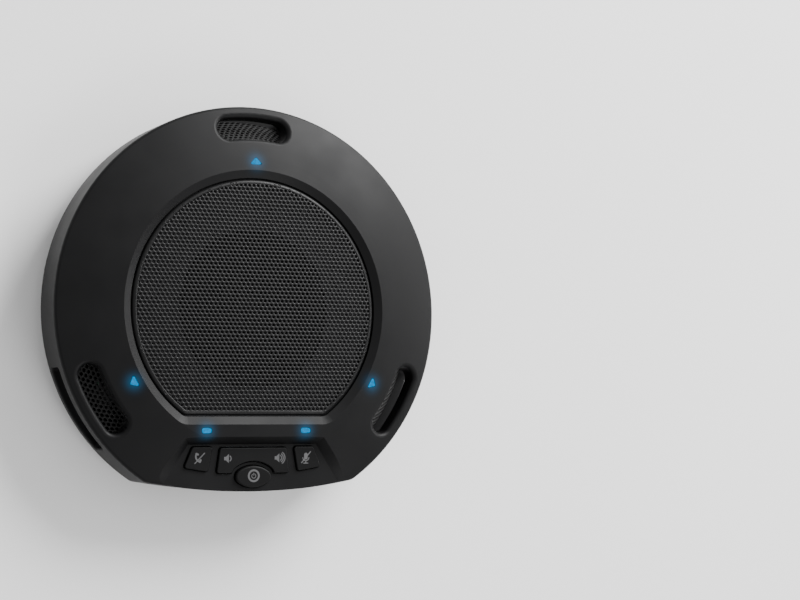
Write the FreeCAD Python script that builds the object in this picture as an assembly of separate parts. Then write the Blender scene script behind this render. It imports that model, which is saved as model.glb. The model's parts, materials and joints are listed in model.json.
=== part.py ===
import FreeCAD
import Part
import math
import os

from FreeCAD import Vector

# Wireless conference speakerphone: a round puck with a cut-off front edge.
#
# Frame: origin on the loudspeaker's axis, on the plane that the rubber feet stand on.
# +Z is up, +X is to the right and -Y is the front edge, where the keys are. Sizes are in millimetres.
#
# Outside there is a conical top cover with a sunk D-shaped loudspeaker grille, three microphone bays
# 120 degrees apart, each open both at the top and in the side wall with a bridge left between, five
# indicator lights, and a sunk key panel at the front. A tapered bottom case on four rubber feet closes it.
# Inside are the loudspeaker in its sealed chamber, the main board with its sockets, the light ring board,
# the key board under a silicone key mat, three microphone assemblies and the battery.

# ---- driving dimensions -------------------------------------------------------------------------
BODY_R = 89.0            # radius of the round body
FRONT_R = 270.0          # radius of the shallow arc that cuts the front off
FRONT_REACH = 79.0       # from the axis to the middle of the front edge
BODY_CORNER = 6.0        # plan radius where the front arc meets the round body
WALL = 2.4               # housing wall

Z_CASE = 2.0             # underside of the bottom case, above the feet
Z_SEAM = 12.5            # parting line between bottom case and top cover
Z_EDGE = 33.0            # top of the side wall, where the cone starts
Z_TOP = 39.5             # highest line of the top cover, round the grille
CONE_BULGE = 0.5         # how far the cone stands out from a straight line
EDGE_ROUND = 1.6         # rounding of the outer top edge

BEVEL_R = 60.4           # outer edge of the bevel round the grille
BEVEL_FLAT = 50.0        # from the axis to the bevel's straight front side
BEVEL_WIDTH = 3.4
BEVEL_DEPTH = 1.7
D_CORNER = 8.0           # corner radius of the D shape
Z_SHELF = 36.0           # top of the shelf that carries the grille
SHELF = 1.8              # shelf thickness
GRILLE_GAP = 0.6         # between the grille and its pocket
GRILLE_RISE = 2.2        # height of the grille's rolled edge above the shelf
GRILLE_DOME = 0.9        # crown of the grille at the axis
GRILLE_SHEET = 0.8
SPEAKER_OPENING_R = 34.5

BAY_ANGLES = {"rear": 90.0, "left": 210.0, "right": 330.0}
SLOT_R = 79.0            # middle radius of a microphone bay's top slot
SLOT_WIDTH = 9.4
SLOT_HALF_ANGLE = 8.4    # to the centre of the slot's round end
SIDE_SLOT_HALF_ANGLE = 13.0
SIDE_SLOT_Z = (15.6, 26.3)
TOP_LIP, SIDE_LIP = 2.0, 0.8     # rounding of the bays' openings
BAY_HALF_ANGLE = 15.6
BAY_TOP = (72.0, 35.4)   # radius and height where the sloping mesh starts
BAY_BOTTOM = (86.3, 13.0)
MESH_SHEET = 0.8

LIGHT_R = 64.2           # radius of the three direction lights
LIGHT_SIDE = 5.4         # long side of their flat triangle
STATUS_POS = (23.0, -52.6)
STATUS_SIZE = (4.2, 2.0)

PANEL_REAR_Y = -58.6     # rear edge of the sunk key panel
PANEL_REAR_Z = 34.7
PANEL_SLOPE = math.degrees(math.atan(0.04))
PANEL_HALF = (30.0, 44.5)    # half width of the panel at its rear edge and past the front
BRIM_HALF = (32.4, 52.0)     # half width of the recess at the cover's surface
BRIM_REAR_Y = -55.3
BRIM_FRONT_Z = 32.3          # height of the brim plane past the front edge
PANEL_END_Y = -80.5      # where the recess tool ends, past the front edge
PANEL_SHEET = 2.0
KEY_PROUD = 1.2
KEY_GAP = 0.4
KEY_TRAVEL = 0.8
KEY_FLANGE = 0.9         # how far a key's retaining flange reaches under the panel
KEY_ROUND = 1.1

PORT_ANGLE = 30.0
PORT_FACE = 87.0         # from the axis to the flat floor of the port recess
PORT_Z = 20.4            # height of the sockets' centre line
PORT_RECESS = (30.0, 9.6)
JACK_U, USB_U = -7.0, 7.0    # sockets' places along the recess
JACK_BORE_R = 1.8
JACK_BORE_DEPTH = 14.0

BATTERY = (-29.0, 29.0, -69.0, -50.2)    # the battery pack's sides in plan
BOARD = 1.6              # thickness of every printed board but the small ones
Z_MAIN_BOARD = 16.0
Z_LIGHT_BOARD = 31.0
CASE_SCREW_R = 75.0
CASE_SCREW_ANGLES = (5.0, 55.0, 125.0, 175.0, 236.0, 304.0)
STANDOFF_R = 56.0
STANDOFF_ANGLES = (22.0, 70.0, 110.0, 158.0)
FOOT_R = 66.0
FOOT_ANGLES = {"rear_right": 45.0, "rear_left": 135.0, "front_left": 225.0, "front_right": 315.0}
RUNNING = 0.15           # small clearance between pieces that only touch

ORIGIN = Vector(0, 0, 0)
UP = Vector(0, 0, 1)
OUT = "parts"


# ---- helpers ------------------------------------------------------------------------------------
def polar(radius, angle, z=0.0):
    a = math.radians(angle)
    return Vector(radius * math.cos(a), radius * math.sin(a), z)


def cyl(radius, z0, z1, x=0.0, y=0.0):
    return Part.makeCylinder(radius, z1 - z0, Vector(x, y, z0), UP)


def tube(outer, inner, z0, z1, x=0.0, y=0.0):
    return cyl(outer, z0, z1, x, y).cut(cyl(inner, z0 - 1, z1 + 1, x, y))


def block(x0, x1, y0, y1, z0, z1, round_r=0.0):
    """A box, with its vertical edges rounded if round_r is given."""
    box = Part.makeBox(x1 - x0, y1 - y0, z1 - z0, Vector(x0, y0, z0))
    if round_r:
        upright = [e for e in box.Edges if abs(e.tangentAt(e.FirstParameter).z) > 0.9]
        box = box.makeFillet(round_r, upright)
    return box


def revolved(points, angle=360.0, start=0.0):
    """The (r, z) polygon turned about Z, from the start angle."""
    wire = Part.makePolygon([Vector(r, 0, z) for r, z in points + points[:1]])
    solid = Part.Face(wire).revolve(ORIGIN, UP, angle)
    solid.rotate(ORIGIN, UP, start)
    return solid


def extruded(wire, height):
    return Part.Face(wire).extrude(Vector(0, 0, height))


def fused(shapes):
    first = shapes[0]
    return first.multiFuse(shapes[1:]).removeSplitter() if len(shapes) > 1 else first


def group(shapes):
    return Part.makeCompound(shapes)


def at_bay(shape, angle):
    """A shape built at the rear, on +Y, turned to another bay."""
    turned = shape.copy()
    turned.rotate(ORIGIN, UP, angle - 90.0)
    return turned


def arc_edge(a, mid, b):
    return Part.Arc(a, mid, b).toShape()


def line_edge(a, b):
    return Part.LineSegment(a, b).toShape()


def d_outline(radius, flat, corner, z):
    """A circle cut off by a straight front side, with rounded corners."""
    cy = corner - flat
    cx = math.sqrt((radius - corner) ** 2 - cy ** 2)
    k = radius / (radius - corner)
    right, left = Vector(cx * k, cy * k, z), Vector(-cx * k, cy * k, z)
    low_right, low_left = Vector(cx, -flat, z), Vector(-cx, -flat, z)
    lean = math.radians(0.5 * (math.degrees(math.atan2(cy, cx)) - 90.0))
    bend = Vector(corner * math.cos(lean), corner * math.sin(lean), 0)
    mid_right = Vector(cx, cy, z) + bend
    mid_left = Vector(-cx, cy, z) + Vector(-bend.x, bend.y, 0)
    return Part.Wire([
        arc_edge(right, Vector(0, radius, z), left),
        arc_edge(left, mid_left, low_left),
        line_edge(low_left, low_right),
        arc_edge(low_right, mid_right, right),
    ])


def body_outline(inset, z):
    """The housing's plan outline, moved inwards by inset: a circle cut off by a shallow front arc."""
    radius, front_r = BODY_R - inset, FRONT_R - inset
    corner = max(BODY_CORNER - inset, 1.5)
    front_y = FRONT_R - FRONT_REACH
    a, b = radius - corner, front_r - corner
    cy = (a * a - b * b + front_y * front_y) / (2 * front_y)
    cx = math.sqrt(a * a - cy * cy)
    k = radius / a
    right, left = Vector(cx * k, cy * k, z), Vector(-cx * k, cy * k, z)
    toward = Vector(cx, cy - front_y, 0).normalize() * front_r
    low_right, low_left = Vector(toward.x, toward.y + front_y, z), Vector(-toward.x, toward.y + front_y, z)
    lean = 0.5 * (math.atan2(cy, cx) + math.atan2(toward.y, toward.x))
    mid_right = Vector(cx + corner * math.cos(lean), cy + corner * math.sin(lean), z)
    mid_left = Vector(-mid_right.x, mid_right.y, z)
    return Part.Wire([
        arc_edge(right, Vector(0, radius, z), left),
        arc_edge(left, mid_left, low_left),
        arc_edge(low_left, Vector(0, front_y - front_r, z), low_right),
        arc_edge(low_right, mid_right, right),
    ])


def under_cone(drop, z_low):
    """Everything below the cover's top surface, lowered by drop: a flat middle and a slightly convex cone."""
    over = 3.0           # the cone runs on past the wall, so that the wall trims it
    slope = (Z_TOP - Z_EDGE) / (BODY_R - BEVEL_R)
    inner = Vector(BEVEL_R, 0, Z_TOP - drop)
    outer = Vector(BODY_R + over, 0, Z_EDGE - over * (slope + 0.05) - drop)
    mid_r = (BEVEL_R + BODY_R) / 2
    middle = Vector(mid_r, 0, (Z_TOP + Z_EDGE) / 2 + CONE_BULGE - drop)
    wire = Part.Wire([
        line_edge(Vector(0, 0, z_low), Vector(0, 0, Z_TOP - drop)),
        line_edge(Vector(0, 0, Z_TOP - drop), inner),
        arc_edge(inner, middle, outer),
        line_edge(outer, Vector(outer.x, 0, z_low)),
        line_edge(Vector(outer.x, 0, z_low), Vector(0, 0, z_low)),
    ])
    return Part.Face(wire).revolve(ORIGIN, UP, 360)


def cone_z(radius):
    """Rough height of the cover's surface at a radius, on the straight line."""
    if radius <= BEVEL_R:
        return Z_TOP
    return Z_TOP - (Z_TOP - Z_EDGE) * (radius - BEVEL_R) / (BODY_R - BEVEL_R)


def arc_slot(mid_r, width, half_angle, z0, z1):
    """A slot with round ends that follows a circle, centred on +Y."""
    a = 90.0 - half_angle
    r_in, r_out = mid_r - width / 2, mid_r + width / 2
    band = revolved([(r_in, z0), (r_out, z0), (r_out, z1), (r_in, z1)], 2 * half_angle, a)
    ends = [cyl(width / 2, z0, z1, *polar(mid_r, 90.0 + s * half_angle)[:2]) for s in (-1, 1)]
    return fused([band] + ends)


# ---- the key panel's own frame: x across, y up the slope, z out of the panel -----------------------
def on_panel(shape):
    """A shape drawn on the flat panel (z = 0), centred on the panel's rear edge, put in its place."""
    placed = shape.copy()
    placed.rotate(ORIGIN, Vector(1, 0, 0), PANEL_SLOPE)
    placed.translate(Vector(0, PANEL_REAR_Y, PANEL_REAR_Z))
    return placed


def key_outline(corners, grow, round_r, z):
    """A rounded polygon through the corners, moved outwards by grow."""
    wire = Part.makePolygon([Vector(x, y, z) for x, y in corners + corners[:1]])
    if grow:
        wire = wire.makeOffset2D(grow, 2)
    solid = extruded(wire, 1.0)
    upright = [e for e in solid.Edges if abs(e.tangentAt(e.FirstParameter).z) > 0.9]
    solid = solid.makeFillet(max(round_r + grow, 0.4), upright)
    bottom = min(solid.Faces, key=lambda f: f.CenterOfMass.z)
    return bottom.OuterWire


SIDE_KEY = [(-28.2, -1.0), (-18.95, -1.0), (-21.0, -11.7), (-32.0, -9.9)]
ROCKER_HALF, ROCKER_REAR, ROCKER_FRONT = (15.5, 17.0), -1.4, -12.4
POWER_Y, POWER_A, POWER_B = -13.9, 8.25, 4.75
POWER_END = 3.2          # radius of the oval's ends
POWER_MOAT = 1.5         # panel left between the power key and the rocker round it
ROCKER_PIVOT_W = -4.0
ROCKER_SWING = 2.5       # degrees each way


def side_key_prism(side, grow, z0, z1):
    corners = [(-side * x, y) for x, y in SIDE_KEY]
    return extruded(key_outline(corners, grow, KEY_ROUND, z0), z1 - z0)


def power_prism(grow, z0, z1):
    """The power key: an oval of four tangent arcs, moved outwards by grow."""
    a, b, end = POWER_A + grow, POWER_B + grow, POWER_END + grow
    side = ((a - end) ** 2 + b * b - end * end) / (2 * (b - end))
    lean = math.atan2(side - b, a - end)
    x, y = a - end + end * math.cos(lean), end * math.sin(lean)
    corners = [Vector(sx * x, POWER_Y + sy * y, z0) for sx, sy in ((1, 1), (-1, 1), (-1, -1), (1, -1))]
    middles = [Vector(0, POWER_Y + b, z0), Vector(-a, POWER_Y, z0), Vector(0, POWER_Y - b, z0), Vector(a, POWER_Y, z0)]
    return extruded(Part.Wire([arc_edge(corners[i], middles[i], corners[(i + 1) % 4]) for i in range(4)]), z1 - z0)


def rocker_prism(grow, z0, z1):
    """The volume rocker: a wide key with a scoop in its front side for the power key."""
    a, b = ROCKER_HALF
    corners = [(-a, ROCKER_REAR), (a, ROCKER_REAR), (b, ROCKER_FRONT), (-b, ROCKER_FRONT)]
    body = extruded(key_outline(corners, grow, KEY_ROUND, z0), z1 - z0)
    body = body.cut(power_prism(POWER_MOAT + KEY_GAP - grow, z0 - 1, z1 + 1))
    sharp = [e for e in body.Edges if abs(e.tangentAt(e.FirstParameter).z) > 0.9
             and abs(e.CenterOfMass.x) < b - 2 and abs(e.CenterOfMass.y - ROCKER_FRONT + grow) < 0.01]
    return body.makeFillet(0.8, sharp)


# ---- housing ------------------------------------------------------------------------------------
def quad(half_a, y_a, z_a, half_b, y_b, z_b):
    """A wire through the rear corners (a) and the front corners (b)."""
    points = [Vector(-half_a, y_a, z_a), Vector(half_a, y_a, z_a), Vector(half_b, y_b, z_b), Vector(-half_b, y_b, z_b)]
    return Part.makePolygon(points + points[:1])


def panel_recess(grow):
    """The tool that sinks the key panel, with sloping sides that fade out at the front."""
    run = PANEL_REAR_Y - PANEL_END_Y
    end_z = PANEL_REAR_Z - run * math.tan(math.radians(PANEL_SLOPE))
    rear_z = PANEL_REAR_Z - grow * (1 - math.tan(math.radians(PANEL_SLOPE)))
    floor = quad(PANEL_HALF[0] + grow, PANEL_REAR_Y + grow, rear_z,
                 PANEL_HALF[1] + grow, PANEL_END_Y, end_z - grow)
    brim = quad(BRIM_HALF[0] + grow, BRIM_REAR_Y + grow, Z_TOP,
                BRIM_HALF[1] + grow, PANEL_END_Y, BRIM_FRONT_Z)
    sunk = Part.makeLoft([floor, brim], True, True)
    above = Part.Face(brim).extrude(Vector(0, 0, 14))
    return fused([sunk, above])


def grille_pocket():
    """The bevel and the straight-sided pocket for the grille, down to the shelf."""
    inner_r, inner_flat, inner_corner = BEVEL_R - BEVEL_WIDTH, BEVEL_FLAT - BEVEL_WIDTH, D_CORNER - BEVEL_WIDTH
    low = d_outline(inner_r, inner_flat, inner_corner, Z_TOP - BEVEL_DEPTH)
    high = d_outline(BEVEL_R, BEVEL_FLAT, D_CORNER, Z_TOP)
    bevel = Part.makeLoft([low, high], True, True)
    straight = extruded(d_outline(inner_r, inner_flat, inner_corner, Z_SHELF), Z_TOP - BEVEL_DEPTH - Z_SHELF)
    above = extruded(high, 4.0)
    return fused([straight, bevel, above])


def mesh_line(offset, z):
    """Radius of the microphone mesh's outer face at a height, moved inwards by offset."""
    (r0, z0), (r1, z1) = BAY_TOP, BAY_BOTTOM
    lean = math.hypot(r1 - r0, z1 - z0) / (z0 - z1)
    return r0 + (r1 - r0) * (z0 - z) / (z0 - z1) - offset * lean


def bay_block():
    """The solid corner inside the cover that a microphone bay is cut through."""
    corner = [BAY_TOP, (BODY_R - 1.0, BAY_TOP[1] - 3.6), (BODY_R - 1.0, BAY_BOTTOM[1]), BAY_BOTTOM]
    return revolved(corner, 2 * BAY_HALF_ANGLE, 90 - BAY_HALF_ANGLE)


def bay_cut():
    """Top slot and side slot, which meet behind the bridge that is left at the cover's edge."""
    top = arc_slot(SLOT_R, SLOT_WIDTH, SLOT_HALF_ANGLE, Z_SEAM, Z_TOP + 2)
    z0, z1 = SIDE_SLOT_Z
    half = SIDE_SLOT_HALF_ANGLE
    side = revolved([(70.0, z0), (BODY_R + 3, z0), (BODY_R + 3, z1), (70.0, z1)], 2 * half, 90 - half)
    along_r = [e for e in side.Edges if isinstance(e.Curve, Part.Line) and abs(e.tangentAt(0).z) < 0.1]
    side = side.makeFillet(2.0, along_r)
    return top.fuse(side)


def light_window(grow, z0, z1):
    """A flat rounded triangle that points outwards, at the rear."""
    base, tip = LIGHT_R - 1.2 - grow, LIGHT_R + 1.8 + 1.4 * grow
    half = LIGHT_SIDE / 2 + 2.1 * grow
    corners = [Vector(-half, base, z0), Vector(half, base, z0), Vector(0, tip, z0)]
    prism = extruded(Part.makePolygon(corners + corners[:1]), z1 - z0)
    return prism.makeFillet(0.45, [e for e in prism.Edges if abs(e.tangentAt(e.FirstParameter).z) > 0.9])


def status_window(side, grow, z0, z1):
    x, y = side * STATUS_POS[0], STATUS_POS[1]
    a, b = STATUS_SIZE[0] / 2 + grow, STATUS_SIZE[1] / 2 + grow
    return block(x - a, x + a, y - b, y + b, z0, z1, 0.8)


def port_window(u, width, height):
    """An opening through the port recess's floor, at the port angle."""
    return at_port(Part.makeBox(width, 8, height, Vector(u - width / 2, PORT_FACE - 5, PORT_Z - height / 2)))


def at_port(shape):
    """A shape built on +Y, turned to the port recess."""
    return at_bay(shape, PORT_ANGLE)


def boss(radius, angle, z_low, outer, pilot, depth):
    post = cyl(outer, z_low, cone_z(radius) - WALL / 2, *polar(radius, angle)[:2])
    return post, cyl(pilot, z_low - 1, z_low + depth, *polar(radius, angle)[:2])


LIGHT_POST_ANGLES = (20.0, 60.0, 120.0, 160.0)
LIGHT_POST_R = 65.0
CHAMBER_SCREW_ANGLES = (0.0, 60.0, 120.0, 180.0)
CHAMBER_SCREW_R = 51.6
SPEAKER_SCREW_ANGLES = (45.0, 135.0, 225.0, 315.0)
SPEAKER_SCREW_R = 38.8


def bay_edges(cover, r_low, r_high, z_low, z_high):
    """The edges of the microphone bays' openings within these radii and heights."""
    found = []
    for edge in cover.Edges:
        middle, box = edge.CenterOfMass, edge.BoundBox
        turn = math.degrees(math.atan2(middle.y, middle.x))
        at_a_bay = any(abs((turn - a + 180) % 360 - 180) < BAY_HALF_ANGLE - 1 for a in BAY_ANGLES.values())
        if at_a_bay and box.ZMin > z_low and box.ZMax < z_high and edge.Length < 60 \
                and r_low < math.hypot(middle.x, middle.y) < r_high:
            found.append(edge)
    return found


def top_cover():
    raw = extruded(body_outline(0, Z_SEAM), 40).common(under_cone(0, Z_SEAM - 5))
    rim = [e for e in raw.Edges if e.BoundBox.ZMin > Z_SEAM + 5 and e.BoundBox.YMin > -FRONT_REACH - 1
           and max(abs(e.BoundBox.XMax), abs(e.BoundBox.YMin), abs(e.BoundBox.YMax)) > BEVEL_R + 5]
    outer = raw.makeFillet(EDGE_ROUND, [e for e in rim if e.BoundBox.ZMax - e.BoundBox.ZMin < 3])
    void = extruded(body_outline(WALL, Z_SEAM - 1), 40).common(under_cone(WALL, Z_SEAM - 5))
    shell = outer.cut(void)

    tray_r, tray_flat = BEVEL_R - BEVEL_WIDTH + 2.0, BEVEL_FLAT - BEVEL_WIDTH + 2.0
    z_tray = Z_SHELF - SHELF
    grille_tray = extruded(d_outline(tray_r, tray_flat, D_CORNER - 1.4, z_tray), Z_TOP - 1 - z_tray)
    panel_tray = panel_recess(PANEL_SHEET + 0.1).common(outer)
    port_slab = at_port(Part.makeBox(36, 4.4, 14, Vector(-18, PORT_FACE - 2.4, Z_SEAM + 0.8))).common(outer)
    bays = [at_bay(bay_block(), a) for a in BAY_ANGLES.values()]
    posts = []
    holes = []
    for angle in CASE_SCREW_ANGLES:
        post, hole = boss(CASE_SCREW_R, angle, Z_SEAM + 0.4, 3.6, 1.45, 12.0)
        posts.append(post.common(outer))
        holes.append(hole)
    for angle in LIGHT_POST_ANGLES:
        post, hole = boss(LIGHT_POST_R, angle, Z_LIGHT_BOARD + 1.2, 2.2, 0.8, 3.5)
        posts.append(post)
        holes.append(hole)
    for angle in CHAMBER_SCREW_ANGLES:
        holes.append(cyl(0.9, z_tray - 1, z_tray + 1.3, *polar(CHAMBER_SCREW_R, angle)[:2]))
    for angle in SPEAKER_SCREW_ANGLES:
        holes.append(cyl(0.95, z_tray - 1, z_tray + 1.3, *polar(SPEAKER_SCREW_R, angle)[:2]))
    solid = shell.multiFuse([grille_tray, panel_tray, port_slab] + bays + posts)

    cuts = [grille_pocket(), panel_recess(0), cyl(SPEAKER_OPENING_R, 30, 40)] + holes
    cuts += [at_bay(bay_cut(), a) for a in BAY_ANGLES.values()]
    cuts += [at_bay(light_window(RUNNING, 30, 45), a) for a in BAY_ANGLES.values()]
    cuts += [status_window(s, RUNNING, 30, 45) for s in (-1, 1)]
    cuts += [on_panel(side_key_prism(s, KEY_GAP, -8, 4)) for s in (-1, 1)]
    cuts += [on_panel(rocker_prism(KEY_GAP, -8, 4)), on_panel(power_prism(KEY_GAP, -8, 4))]
    w, h = PORT_RECESS
    recess = Part.makeBox(w, 5, h, Vector(-w / 2, PORT_FACE, PORT_Z - h / 2))
    cuts += [at_port(recess), port_window(JACK_U, 6.6, 6.6), port_window(USB_U, 8.4, 3.8)]
    cover = solid.cut(cuts[0].multiFuse(cuts[1:]))
    z0, z1 = SIDE_SLOT_Z
    cover = cover.makeFillet(TOP_LIP, bay_edges(cover, 72.5, 85.5, Z_EDGE + 1, Z_TOP - 1))
    return cover.makeFillet(SIDE_LIP, bay_edges(cover, 85.5, BODY_R + 1, z0 - 0.5, z1 + 0.5))


def bottom_case():
    lean = 8.0           # how far the undercut draws in towards the feet
    z0, z1 = Z_CASE, Z_SEAM
    low = body_outline(lean, z0)
    high = body_outline(0.6, z1)
    outer = Part.makeLoft([low, high], True, True)
    void = Part.makeLoft([body_outline(lean + WALL, z0 + WALL), body_outline(0.6 + WALL, z1 + 0.01)], True, True)
    tray = outer.cut(void)
    lip = extruded(body_outline(WALL + 0.3, z1 - 2.0), 3.6).cut(extruded(body_outline(WALL + 1.9, z1 - 3.0), 6))
    keep_out = [at_bay(revolved([(60, z1 + 0.01), (95, z1 + 0.01), (95, 20), (60, 20)],
                                2 * BAY_HALF_ANGLE + 2, 89 - BAY_HALF_ANGLE), a) for a in BAY_ANGLES.values()]
    keep_out.append(at_port(Part.makeBox(40, 12, 8, Vector(-20, 80, z1 + 0.01))))
    inside = Part.makeLoft([body_outline(lean + 1.0, z0), body_outline(1.6, z1 + 0.5)], True, True)
    solids = [tray, lip]
    cuts = list(keep_out)
    for angle in CASE_SCREW_ANGLES:
        x, y = polar(CASE_SCREW_R, angle)[:2]
        solids.append(cyl(4.4, z0 + 0.5, Z_SEAM + 0.2, x, y).common(inside))
        cuts += [cyl(1.7, z0 - 1, 20, x, y), cyl(3.2, z0 - 1, z0 + 4.0, x, y)]
    for angle in STANDOFF_ANGLES:
        x, y = polar(STANDOFF_R, angle)[:2]
        solids.append(Part.makeCone(3.6, 2.8, Z_MAIN_BOARD - z0 - 1, Vector(x, y, z0 + 1), UP))
        cuts.append(cyl(1.0, z0 + 4, 20, x, y))
    x0, x1, y0, y1 = BATTERY
    for x in (x0 - 1.8, x1 + 0.4):
        solids.append(block(x, x + 1.4, y0 + 3, y1 - 3, z0 + 1, 11.0))
    solids.append(block(x0 + 5, x1 - 5, y1 + 0.4, y1 + 1.8, z0 + 1, 11.0))
    for x in (-18.0, 16.6):
        solids.append(block(x, x + 1.4, -76.0, y0 - 0.4, z0 + 1, 11.0).common(inside))
    for angle in FOOT_ANGLES.values():
        cuts.append(cyl(7.2, z0 - 1, z0 + 1.0, *polar(FOOT_R, angle)[:2]))
    cuts.append(block(-22, 22, -14, 14, z0 - 1, z0 + 0.4, 2.0))
    return fused(solids).cut(cuts[0].multiFuse(cuts[1:]))


def foot(angle):
    x, y = polar(FOOT_R, angle)[:2]
    pad = cyl(7.0, 0, Z_CASE + 1.0, x, y)
    low = [e for e in pad.Edges if e.BoundBox.ZMax < 0.1]
    return pad.makeFillet(0.6, low)


def case_screws():
    screws = []
    for angle in CASE_SCREW_ANGLES:
        x, y = polar(CASE_SCREW_R, angle)[:2]
        head = cyl(2.7, Z_CASE + 1.9, Z_CASE + 4.0, x, y)
        cross = fused([block(x - a, x + a, y - b, y + b, Z_CASE, Z_CASE + 2.9) for a, b in ((1.5, 0.3), (0.3, 1.5))])
        shank = cyl(1.4, Z_CASE + 3.9, Z_SEAM + 10.5, x, y)
        screws.append(fused([head, shank]).cut(cross))
    return group(screws)


# ---- loudspeaker grille --------------------------------------------------------------------------
def grille_body(inset, z_low, drop):
    """The grille's outer or inner solid: the D shape trimmed by a shallow dome."""
    radius = BEVEL_R - BEVEL_WIDTH - GRILLE_GAP - inset
    flat = BEVEL_FLAT - BEVEL_WIDTH - GRILLE_GAP - inset
    z_crown = Z_SHELF + GRILLE_RISE - drop + GRILLE_DOME
    crown_r = (radius ** 2 + GRILLE_DOME ** 2) / (2 * GRILLE_DOME)
    prism = extruded(d_outline(radius, flat, D_CORNER - 4.0 - inset, z_low), 10)
    dome = Part.makeSphere(crown_r, Vector(0, 0, z_crown - crown_r), UP, 80, 90, 360)
    return prism.common(dome)


def speaker_grille():
    outer = grille_body(0, Z_SHELF, 0)
    top_edges = [e for e in outer.Edges if e.BoundBox.ZMin > Z_SHELF + 1.0]
    outer = outer.makeFillet(1.5, top_edges)
    inner = grille_body(GRILLE_SHEET, Z_SHELF - 1, GRILLE_SHEET)
    return outer.cut(inner)


def mic_mesh():
    """The perforated strip behind a bay: a piece of a cone that lies on the bay's sloping back."""
    (r0, z0), (r1, z1) = BAY_TOP, BAY_BOTTOM
    z_hi, z_lo = z0 - 1.6, z1 + 0.4
    a, b = mesh_line(0.05, z_hi), mesh_line(0.05, z_lo)
    c, d = mesh_line(MESH_SHEET, z_hi), mesh_line(MESH_SHEET, z_lo)
    half = BAY_HALF_ANGLE - 0.8
    return revolved([(a, z_hi), (b, z_lo), (d, z_lo), (c, z_hi)], 2 * half, 90 - half)


# ---- lights -------------------------------------------------------------------------------------
def light_guide():
    """A triangular light guide with a collar below the cover."""
    stem = light_window(0, Z_LIGHT_BOARD + 2.4, Z_TOP + 1).common(under_cone(-0.03, 20))
    collar = cyl(3.6, Z_LIGHT_BOARD + 3.6, Z_LIGHT_BOARD + 4.4, 0, LIGHT_R)
    return fused([stem, collar])


def status_guide(side):
    stem = status_window(side, 0, Z_LIGHT_BOARD + 2.4, Z_TOP + 0.03)
    x, y = side * STATUS_POS[0], STATUS_POS[1]
    collar = block(x - 3.0, x + 3.0, y - 1.6, y + 1.6, Z_TOP - WALL - 1.2, Z_TOP - WALL - 0.1)
    return fused([stem, collar])


def light_board():
    ring = tube(68.0, 55.5, Z_LIGHT_BOARD, Z_LIGHT_BOARD + 1.2)
    keep = block(-80, 80, -55.0, 80, 20, 40)
    holes = [cyl(1.0, 30, 35, *polar(LIGHT_POST_R, a)[:2]) for a in LIGHT_POST_ANGLES]
    return ring.common(keep).cut(fused(holes[:1]).multiFuse(holes[1:]))


def light_screws():
    screws = []
    for angle in LIGHT_POST_ANGLES:
        x, y = polar(LIGHT_POST_R, angle)[:2]
        screws.append(fused([cyl(1.7, Z_LIGHT_BOARD - 1.2, Z_LIGHT_BOARD, x, y),
                             cyl(0.75, Z_LIGHT_BOARD - 0.1, Z_LIGHT_BOARD + 4.2, x, y)]))
    return group(screws)


def light_chips():
    z = Z_LIGHT_BOARD + 1.2
    chips = [at_bay(block(-1.4, 1.4, LIGHT_R - 1.2, LIGHT_R + 1.2, z, z + 0.9), a) for a in BAY_ANGLES.values()]
    for side in (-1, 1):
        x, y = side * STATUS_POS[0], STATUS_POS[1]
        chips.append(block(x - 1.4, x + 1.4, y - 1.0, y + 1.0, z, z + 0.9))
    return group(chips)


# ---- keys ---------------------------------------------------------------------------------------
KEY_BASE = -PANEL_SHEET - 1.2
MAT_TOP = -5.2
MAT = 0.8
KEY_SPOTS = {"call": (-25.0, -5.6), "volume_down": (-13.4, -7.6), "volume_up": (13.4, -7.6),
             "power": (0.0, POWER_Y), "mute": (25.0, -5.6)}


def softened(solid, top, radius):
    """The solid with the edge round its top face rounded."""
    rim = [e for e in solid.Edges if e.BoundBox.ZMin > top - 0.01]
    return solid.makeFillet(radius, rim)


def side_key(side):
    cap = softened(side_key_prism(side, 0, KEY_BASE, KEY_PROUD), KEY_PROUD, 0.45)
    flange = side_key_prism(side, KEY_GAP + KEY_FLANGE, KEY_BASE, KEY_BASE + 1.0)
    return on_panel(fused([cap, flange]))


def power_key():
    top = KEY_PROUD + 0.5
    cap = power_prism(0, KEY_BASE, top)
    cap = softened(cap, top, 0.9)
    flange = power_prism(KEY_GAP + 0.7, KEY_BASE, KEY_BASE + 1.0)
    flange = flange.common(block(-20, 20, POWER_Y - 2.5, POWER_Y + 20, -10, 10))
    return on_panel(fused([cap, flange]))


def volume_rocker():
    base = ROCKER_PIVOT_W + 0.1
    cap = softened(rocker_prism(0, base, KEY_PROUD), KEY_PROUD, 0.45)
    flange = rocker_prism(KEY_GAP + KEY_FLANGE, base, base + 0.8)
    middle = block(-ROCKER_HALF[0] + 2.5, ROCKER_HALF[0] - 2.5, -30, 10, -10, 10)
    fulcrum = Part.makeCylinder(0.9, 3.0, Vector(0, ROCKER_REAR - 0.8 - 3.0, ROCKER_PIVOT_W), Vector(0, 1, 0))
    return on_panel(fused([cap, fulcrum, flange.cut(middle)]))


def mat_outline(grow, z0, z1):
    half_rear, half_front = 32.0 + grow, 34.2 + grow
    corners = [(-half_rear, -0.4), (half_rear, -0.4), (half_front, -12.6), (13.0, -17.4 - grow),
               (-13.0, -17.4 - grow), (-half_front, -12.6)]
    return extruded(Part.makePolygon([Vector(x, y, z0) for x, y in corners + corners[:1]]), z1 - z0)


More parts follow.
